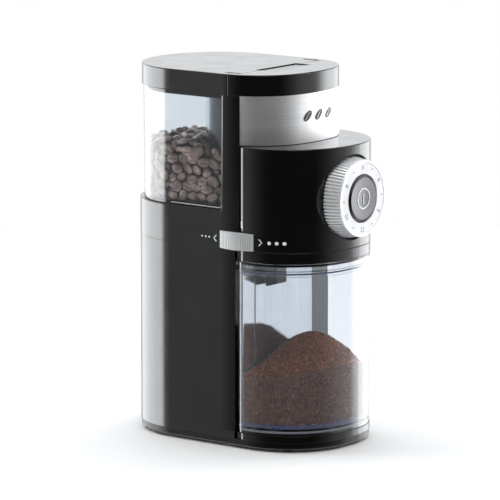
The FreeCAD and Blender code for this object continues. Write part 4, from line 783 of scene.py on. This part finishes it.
def make_grounds(mat, grain_mat):
    """Heap of ground coffee that fills the container's foot, and loose crumbs on it."""
    shape = bmesh.new()
    ring = container_ring(0.25 * MM)
    rings_in = 56
    loops = []
    for step in range(rings_in):
        share = 1 - step / rings_in
        loop = []
        for x, y in ring:
            px = PILE_CENTRE.x + (x - PILE_CENTRE.x) * share
            py = PILE_CENTRE.y + (y - PILE_CENTRE.y) * share
            loop.append(shape.verts.new((px, py, pile_height(px, py))))
        loops.append(loop)
    peak = shape.verts.new((PILE_CENTRE.x, PILE_CENTRE.y, pile_height(PILE_CENTRE.x, PILE_CENTRE.y)))
    downs = 34
    sides = [loops[0]]
    for step in range(1, downs + 1):
        loop = []
        for x, y in ring:
            top = pile_height(x, y)
            z = top + (PILE_FLOOR - top) * step / downs
            pull = 0.0035 * (1 + noise.noise(Vector((x, y, z)) * 500)) * 0.5
            loop.append(shape.verts.new((x + (PILE_CENTRE.x - x) * pull, y + (PILE_CENTRE.y - y) * pull, z)))
        sides.append(loop)
    count = len(ring)
    for upper, lower in list(zip(loops[1:], loops)) + list(zip(sides, sides[1:])):
        for index in range(count):
            after = (index + 1) % count
            shape.faces.new((upper[index], lower[index], lower[after], upper[after]))
    for index in range(count):
        shape.faces.new((peak, loops[-1][index], loops[-1][(index + 1) % count]))
    shape.faces.new(sides[-1])
    bmesh.ops.recalc_face_normals(shape, faces=shape.faces)
    pile = add_piece("ground_coffee", shape, mat, "grounds_container")

    rng = random.Random(7)
    crumbs = bmesh.new()
    while len(crumbs.verts) < CRUMBS * CRUMB_CORNERS:
        x = rng.uniform(-CONTAINER_HALF, CONTAINER_HALF) * 0.95
        y = rng.uniform(-79.0, -28.5) * MM
        inside = (abs(x) / (48.5 * MM)) ** 2.6 + (max(0.0, -y - 30 * MM) / (47.5 * MM)) ** 2.6 < 1.0
        if not inside:
            continue
        radius = rng.uniform(0.25, 0.62) * MM
        at = Vector((x, y, pile_height(x, y) + radius * 0.3))
        turn = Euler([rng.uniform(0, math.tau) for _ in range(3)]).to_matrix().to_4x4()
        stretch = Matrix.Diagonal((radius, radius * rng.uniform(0.6, 1.0), radius * rng.uniform(0.6, 1.0), 1))
        placed = Matrix.Translation(at) @ turn @ stretch
        bmesh.ops.create_icosphere(crumbs, subdivisions=1, radius=1.0, matrix=placed)
    grains = add_piece("coffee_crumbs", crumbs, grain_mat, "grounds_container", smooth=False)


def make_wall_crumbs(mat):
    """Paler crumbs that cling to the inside of the clear wall."""
    rng = random.Random(23)
    crumbs = bmesh.new()
    for _ in range(WALL_CRUMBS):
        radius = rng.choice((0.24, 0.32, 0.42, 0.55)) * MM
        ring = container_ring(radius + 0.05 * MM)
        at = rng.randrange(len(ring) - 1)
        share = rng.random()
        x = ring[at][0] + (ring[at + 1][0] - ring[at][0]) * share
        y = ring[at][1] + (ring[at + 1][1] - ring[at][1]) * share
        z = rng.uniform(PILE_FLOOR + 2 * MM, pile_height(x, y) + 2 * MM)
        stretch = Matrix.Diagonal((radius, radius * rng.uniform(0.8, 1.0), radius * rng.uniform(0.5, 1.0), 1))
        placed = Matrix.Translation(Vector((x, y, z))) @ stretch
        bmesh.ops.create_icosphere(crumbs, subdivisions=1, radius=1.0, matrix=placed)
    grains = add_piece("wall_crumbs", crumbs, mat, "grounds_container", smooth=False)


def flat_hoop(shape, outer_inset, inner_inset, low, high):
    """Thin hoop along the container's outline, between two heights."""
    outer = container_ring(outer_inset)
    inner = container_ring(inner_inset)
    sides = ((outer, low), (outer, high), (inner, high), (inner, low))
    loops = [[shape.verts.new((x, y, z)) for x, y in ring] for ring, z in sides]
    join_rings(shape, loops + loops[:1])


def make_rim_tint_and_painted_reflection(mat):
    """Deep tint that the clear plastic shows where its floor and rim are seen edge on: its own cool tint
    together with painted reflection of light caught inside the plastic.
    """
    shape = bmesh.new()
    flat_hoop(shape, 0.05 * MM, 0.20 * MM, PILE_FLOOR - 0.1 * MM, PILE_FLOOR + 2.8 * MM)
    flat_hoop(shape, 0.05 * MM, 0.20 * MM, 119.2 * MM, 120.3 * MM)
    bmesh.ops.recalc_face_normals(shape, faces=shape.faces)
    # Painted reflection: an opaque dark violet-blue hoop stands for light reflected inside the clear plastic at
    # its floor and rim edges.
    tint = add_piece("container_rim_tint_and_painted_reflection", shape, mat, "grounds_container")


def make_floor_light(mat):
    """Light caught in the thickness of the clear floor, just inside its outer edge."""
    shape = bmesh.new()
    flat_hoop(shape, -1.3 * MM, -1.1 * MM, 12.7 * MM, 14.2 * MM)
    bmesh.ops.recalc_face_normals(shape, faces=shape.faces)
    glow = add_piece("container_floor_light", shape, mat, "grounds_container")


def make_scoop_bed(mat):
    """Shallow ramp that lines the finger scoop in the cap, up to the lid's front edge."""
    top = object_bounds()[1][2]
    half = 21.7 * MM
    rear = -18.6 * MM
    front = -30.6 * MM
    shape = bmesh.new()
    steps = 10
    for side in (-half, half):
        for step in range(steps + 1):
            share = step / steps
            y = rear + (front - rear) * share
            shape.verts.new((side, y, top - 0.60 * MM + 0.42 * MM * share ** 1.6))
            shape.verts.new((side, y, top - 1.20 * MM + 1.0 * MM * share))
    shape.verts.ensure_lookup_table()
    corners = list(shape.verts)
    half_count = len(corners) // 2
    sections = []
    for a in range(0, half_count, 2):
        b = a + half_count
        sections.append([corners[a], corners[a + 1], corners[b + 1], corners[b]])
    join_rings(shape, sections)
    shape.faces.new(list(reversed(sections[0])))
    shape.faces.new(sections[-1])
    bmesh.ops.recalc_face_normals(shape, faces=shape.faces)
    bed = add_piece("scoop_bed", shape, mat, "housing", smooth=False)


def make_liner_wing(mat):
    """Narrow side sheet beside the bay liner, with a rounded edge along each side."""
    (low_x, front, low_z), (_, back, high_z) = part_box("bay_liner")
    shape = bmesh.new()
    right = low_x - 1.2 * MM
    left = -47.6 * MM
    radius = (back - front) / 2
    middle = (back + front) / 2
    outline = []
    for centre, start in ((right - radius, -90), (left + radius, 90)):
        for step in range(7):
            angle = math.radians(start + 30 * step)
            outline.append((centre + radius * math.cos(angle), middle + radius * math.sin(angle)))
    rows = [[shape.verts.new((x, y, z)) for x, y in outline] for z in (low_z, high_z)]
    join_rings(shape, rows)
    shape.faces.new(rows[1])
    shape.faces.new(list(reversed(rows[0])))
    bmesh.ops.recalc_face_normals(shape, faces=shape.faces)
    wing = add_piece("bay_liner_wing", shape, mat, "housing", smooth=False)


# ---------------------------------------------------------------------------
# Printed marks
# ---------------------------------------------------------------------------

DIAL_Z = 168.0 * MM
INK = 0.06 * MM


def glyphs(name, texts, mat, body):
    """Flat numerals: texts are (characters, height, matrix)."""
    joined = bmesh.new()
    for characters, height, placed in texts:
        curve = bpy.data.curves.new(name + "_text", "FONT")
        curve.body = characters
        curve.size = height
        curve.align_x = "CENTER"
        curve.align_y = "CENTER"
        curve.extrude = INK / 2
        curve.resolution_u = 4
        holder = bpy.data.objects.new(name + "_text", curve)
        mesh = bpy.data.meshes.new_from_object(holder)
        mesh.transform(placed)
        joined.from_mesh(mesh)
        bpy.data.objects.remove(holder)
        bpy.data.curves.remove(curve)
        bpy.data.meshes.remove(mesh)
    piece = add_piece(name, joined, mat, body, smooth=False)


def on_dial(radius, degrees, y):
    """Placement on the dial's face: x right, y up as seen from the front."""
    angle = math.radians(degrees)
    at = Vector((radius * math.cos(angle), y, DIAL_Z + radius * math.sin(angle)))
    face = Matrix.Rotation(math.pi / 2, 4, "X")
    turn = Matrix.Rotation(angle - math.pi / 2, 4, "Z")
    return Matrix.Translation(at) @ face @ turn


def disc(shape, placed, radius):
    """Round printed dot."""
    bmesh.ops.create_cone(shape, cap_ends=True, segments=16, radius1=radius, radius2=radius,
                          depth=INK, matrix=placed)


def band_path(shape, points, width, to_world):
    """Ribbon of constant width along a plane path, as thick as the ink."""
    left = []
    right = []
    for index, point in enumerate(points):
        before = points[max(0, index - 1)]
        after = points[min(len(points) - 1, index + 1)]
        way = (Vector(after) - Vector(before)).normalized()
        side = Vector((-way.y, way.x)) * width / 2
        left.append(Vector(point) + side)
        right.append(Vector(point) - side)
    loops = []
    for height in (0.0, INK):
        loops.append([shape.verts.new(to_world(p.x, p.y, height)) for p in left + list(reversed(right))])
    join_rings(shape, loops)
    count = len(loops[0])
    half = len(points)
    for loop, flip in ((loops[0], True), (loops[1], False)):
        for index in range(half - 1):
            quad = [loop[index], loop[index + 1], loop[count - 2 - index], loop[count - 1 - index]]
            shape.faces.new(list(reversed(quad)) if flip else quad)


def printed_patch(shape, outline, to_world):
    """Closed patch of ink with a plane outline."""
    low = [shape.verts.new(to_world(u, v, 0.0)) for u, v in outline]
    high = [shape.verts.new(to_world(u, v, INK)) for u, v in outline]
    shape.faces.new(high)
    shape.faces.new(list(reversed(low)))
    join_rings(shape, [low, high])


def make_dial_marks(ink):
    """Cup numbers around the dial's face, with a dot between each two."""
    face_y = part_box("dial_face")[0][1] - 0.02 * MM
    radius = 20.6 * MM
    numbers = []
    for index, value in enumerate(("2", "4", "6", "8", "10", "12")):
        numbers.append((value, 4.6 * MM, on_dial(radius, -30 + 60 * index, face_y)))
    glyphs("dial_numbers", numbers, ink, "dose_dial")
    dots = bmesh.new()
    for index in range(6):
        disc(dots, on_dial(radius + 0.6 * MM, 60 * index, face_y), 0.5 * MM)
    marks = add_piece("dial_dots", dots, ink, "dose_dial", smooth=False)


def make_button_icon(white):
    """Ring with an upright bar in it, printed on the start button."""
    dome_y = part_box("start_button")[0][1]
    face_y = dome_y - 0.02 * MM
    ring = bmesh.new()
    turns = 48
    radius = 6.6 * MM
    half_line = 0.45 * MM

    def to_face(x, y, height):
        return (x, face_y - height, DIAL_Z + y)

    for index in range(turns):
        a0 = math.tau * index / turns
        a1 = math.tau * (index + 1) / turns
        corners = []
        for r, a in ((radius - half_line, a0), (radius + half_line, a0), (radius + half_line, a1),
                     (radius - half_line, a1)):
            corners.append((r * math.cos(a), r * math.sin(a)))
        printed_patch(ring, corners, to_face)
    bmesh.ops.remove_doubles(ring, verts=ring.verts, dist=1e-7)
    band_path(ring, [(0, -3.6 * MM), (0, 3.6 * MM)], 0.95 * MM, to_face)
    bmesh.ops.recalc_face_normals(ring, faces=ring.faces)
    icon = add_piece("button_icon", ring, white, "start_button", smooth=False)


FLANK_HALF = 52.7 * MM
FLANK_FRONT = -12.8 * MM
FLANK_RADIUS = 60.0 * MM
DRUM_BACK = -26.8 * MM
DRUM_EDGE = 4.0 * MM
DRUM_SIDE = -34.0 * MM
DRUM_RADIUS = 48.0 * MM


def flank_x(y):
    """Outer face of the left flank or drum at depth y."""
    if y > FLANK_FRONT:
        radius, run = 0.0, 0.0
    elif y > DRUM_BACK:
        radius, run = FLANK_RADIUS, FLANK_FRONT - y
    elif y > DRUM_BACK - DRUM_EDGE:
        radius, run = DRUM_EDGE, y - (DRUM_BACK - DRUM_EDGE)
    elif y > DRUM_SIDE:
        radius, run = 0.0, 0.0
    else:
        radius, run = DRUM_RADIUS, DRUM_SIDE - y
    return radius - FLANK_HALF - math.sqrt(radius ** 2 - run ** 2)


def make_flank_marks(white):
    """Chevrons beside the grind slider, small dots for fine, large for coarse, and a pointer."""
    shape = bmesh.new()

    def to_flank(along, up, height):
        return (flank_x(along) - 0.01 * MM - height, along, up)

    tall = 2.1 * MM
    for tip, way, level in ((-6.4 * MM, 1.0, 140.2 * MM), (-45.2 * MM, -1.0, 140.6 * MM)):
        points = [(tip - way * 2.1 * MM, level + tall), (tip, level), (tip - way * 2.1 * MM, level - tall)]
        band_path(shape, points, 0.6 * MM, to_flank)
    fine_dots = (-2.6 * MM, 1.0, 0.55 * MM, 3.0 * MM)
    coarse_dots = (-50.2 * MM, -1.0, 1.15 * MM, 4.6 * MM)
    for start, way, radius, gap in (fine_dots, coarse_dots):
        for index in range(3):
            centre = start + way * gap * index
            ring = []
            for side in range(20):
                a = math.tau * side / 20
                ring.append((centre + radius * math.cos(a), level + radius * math.sin(a)))
            printed_patch(shape, ring, to_flank)
    band_path(shape, [(-29.4 * MM, 149.0 * MM), (-29.4 * MM, 153.4 * MM)], 1.7 * MM, to_flank)
    bmesh.ops.recalc_face_normals(shape, faces=shape.faces)
    marks = add_piece("grind_marks", shape, white, "housing", smooth=False)


def make_hopper_edge(mat):
    """Bright line where light leaves the front and bottom edges of the clear hopper."""
    shape = bmesh.new()
    low = 160.6 * MM
    high = 235.4 * MM
    front = -12.1 * MM
    corner = 2.7 * MM

    def to_side(along, up, height):
        slope = 0.3 * MM * (up - low) / (high - low)
        return (-(51.22 * MM - slope) - height, along, up)

    points = [(front, high - (high - low - corner) * step / 12) for step in range(13)]
    for step in range(1, 7):
        angle = math.pi / 2 * step / 6
        points.append((front + corner * (1 - math.cos(angle)), low + corner * (1 - math.sin(angle))))
    points += [(front + corner + 40 * MM * step / 8, low) for step in range(1, 9)]
    band_path(shape, points, 0.42 * MM, to_side)
    bmesh.ops.recalc_face_normals(shape, faces=shape.faces)
    edge = add_piece("hopper_edge", shape, mat, "bean_hopper", smooth=False)


def make_band_emblem(mat):
    """Three plain coffee beans printed on the steel band."""
    shape = bmesh.new()
    reach = 105.6 * MM
    centre_y = 51.9 * MM
    level = 221.0 * MM

    def to_band(along, up, height):
        angle = along / reach
        radius = reach + 0.02 * MM + height
        return (radius * math.sin(angle), centre_y - radius * math.cos(angle), level + up)

    half_long = 4.8 * MM
    half_wide = 2.5 * MM
    steps = 14
    for index in range(-1, 2):
        middle = 11.5 * MM * index
        for side in (-1.0, 1.0):
            crease = []
            rim = []
            for step in range(steps + 1):
                t = -1 + 2.0 * step / steps
                sway = 0.55 * MM * math.sin(math.pi * t)
                crease.append((t * half_long * 0.94, sway + side * 0.32 * MM * (1 - t * t)))
                rim.append((t * half_long, side * half_wide * math.sqrt(max(0.0, 1 - t * t))))
            rows = []
            for pair in zip(crease, rim):
                turned = [(along * 0.8 - up * 0.6, along * 0.6 + up * 0.8) for along, up in pair]
                rows.append([shape.verts.new(to_band(middle + a, u, INK)) for a, u in turned])
            for before, after in zip(rows, rows[1:]):
                shape.faces.new((before[0], before[1], after[1], after[0]))
    bmesh.ops.remove_doubles(shape, verts=shape.verts, dist=1e-7)
    bmesh.ops.dissolve_degenerate(shape, edges=shape.edges, dist=1e-7)
    bmesh.ops.recalc_face_normals(shape, faces=shape.faces)
    emblem = add_piece("band_emblem", shape, mat, "housing", smooth=False)


make_camera()
make_studio()
MATERIALS = make_materials()
dress_nodes(MATERIALS)
make_beans(roasted("roasted_beans"))
make_grounds(grounds("ground_coffee"), grounds("coffee_crumbs", specks=False))
make_wall_crumbs(flat_ink("pale_crumbs", (0.85, 0.64, 0.48), 0.6))
# Dark violet-blue of the edge hoops: plastic tint plus painted reflection.
make_rim_tint_and_painted_reflection(textured_plastic("painted_reflection_rim_tint", (0.045, 0.045, 0.17), 0.3))
make_floor_light(textured_plastic("floor_light", (0.34, 0.36, 0.40), 0.4))
make_liner_wing(MATERIALS["liner_steel"])
make_scoop_bed(MATERIALS["black_lid"])
make_hopper_edge(textured_plastic("hopper_edge", (0.50, 0.52, 0.55), 0.4))
make_band_emblem(flat_ink("emblem_grey", (0.030, 0.030, 0.032)))
make_dial_marks(flat_ink("dial_ink", (0.10, 0.10, 0.11)))
make_button_icon(flat_ink("icon_white", (0.85, 0.85, 0.85)))
make_flank_marks(flat_ink("mark_white", (0.80, 0.80, 0.80)))
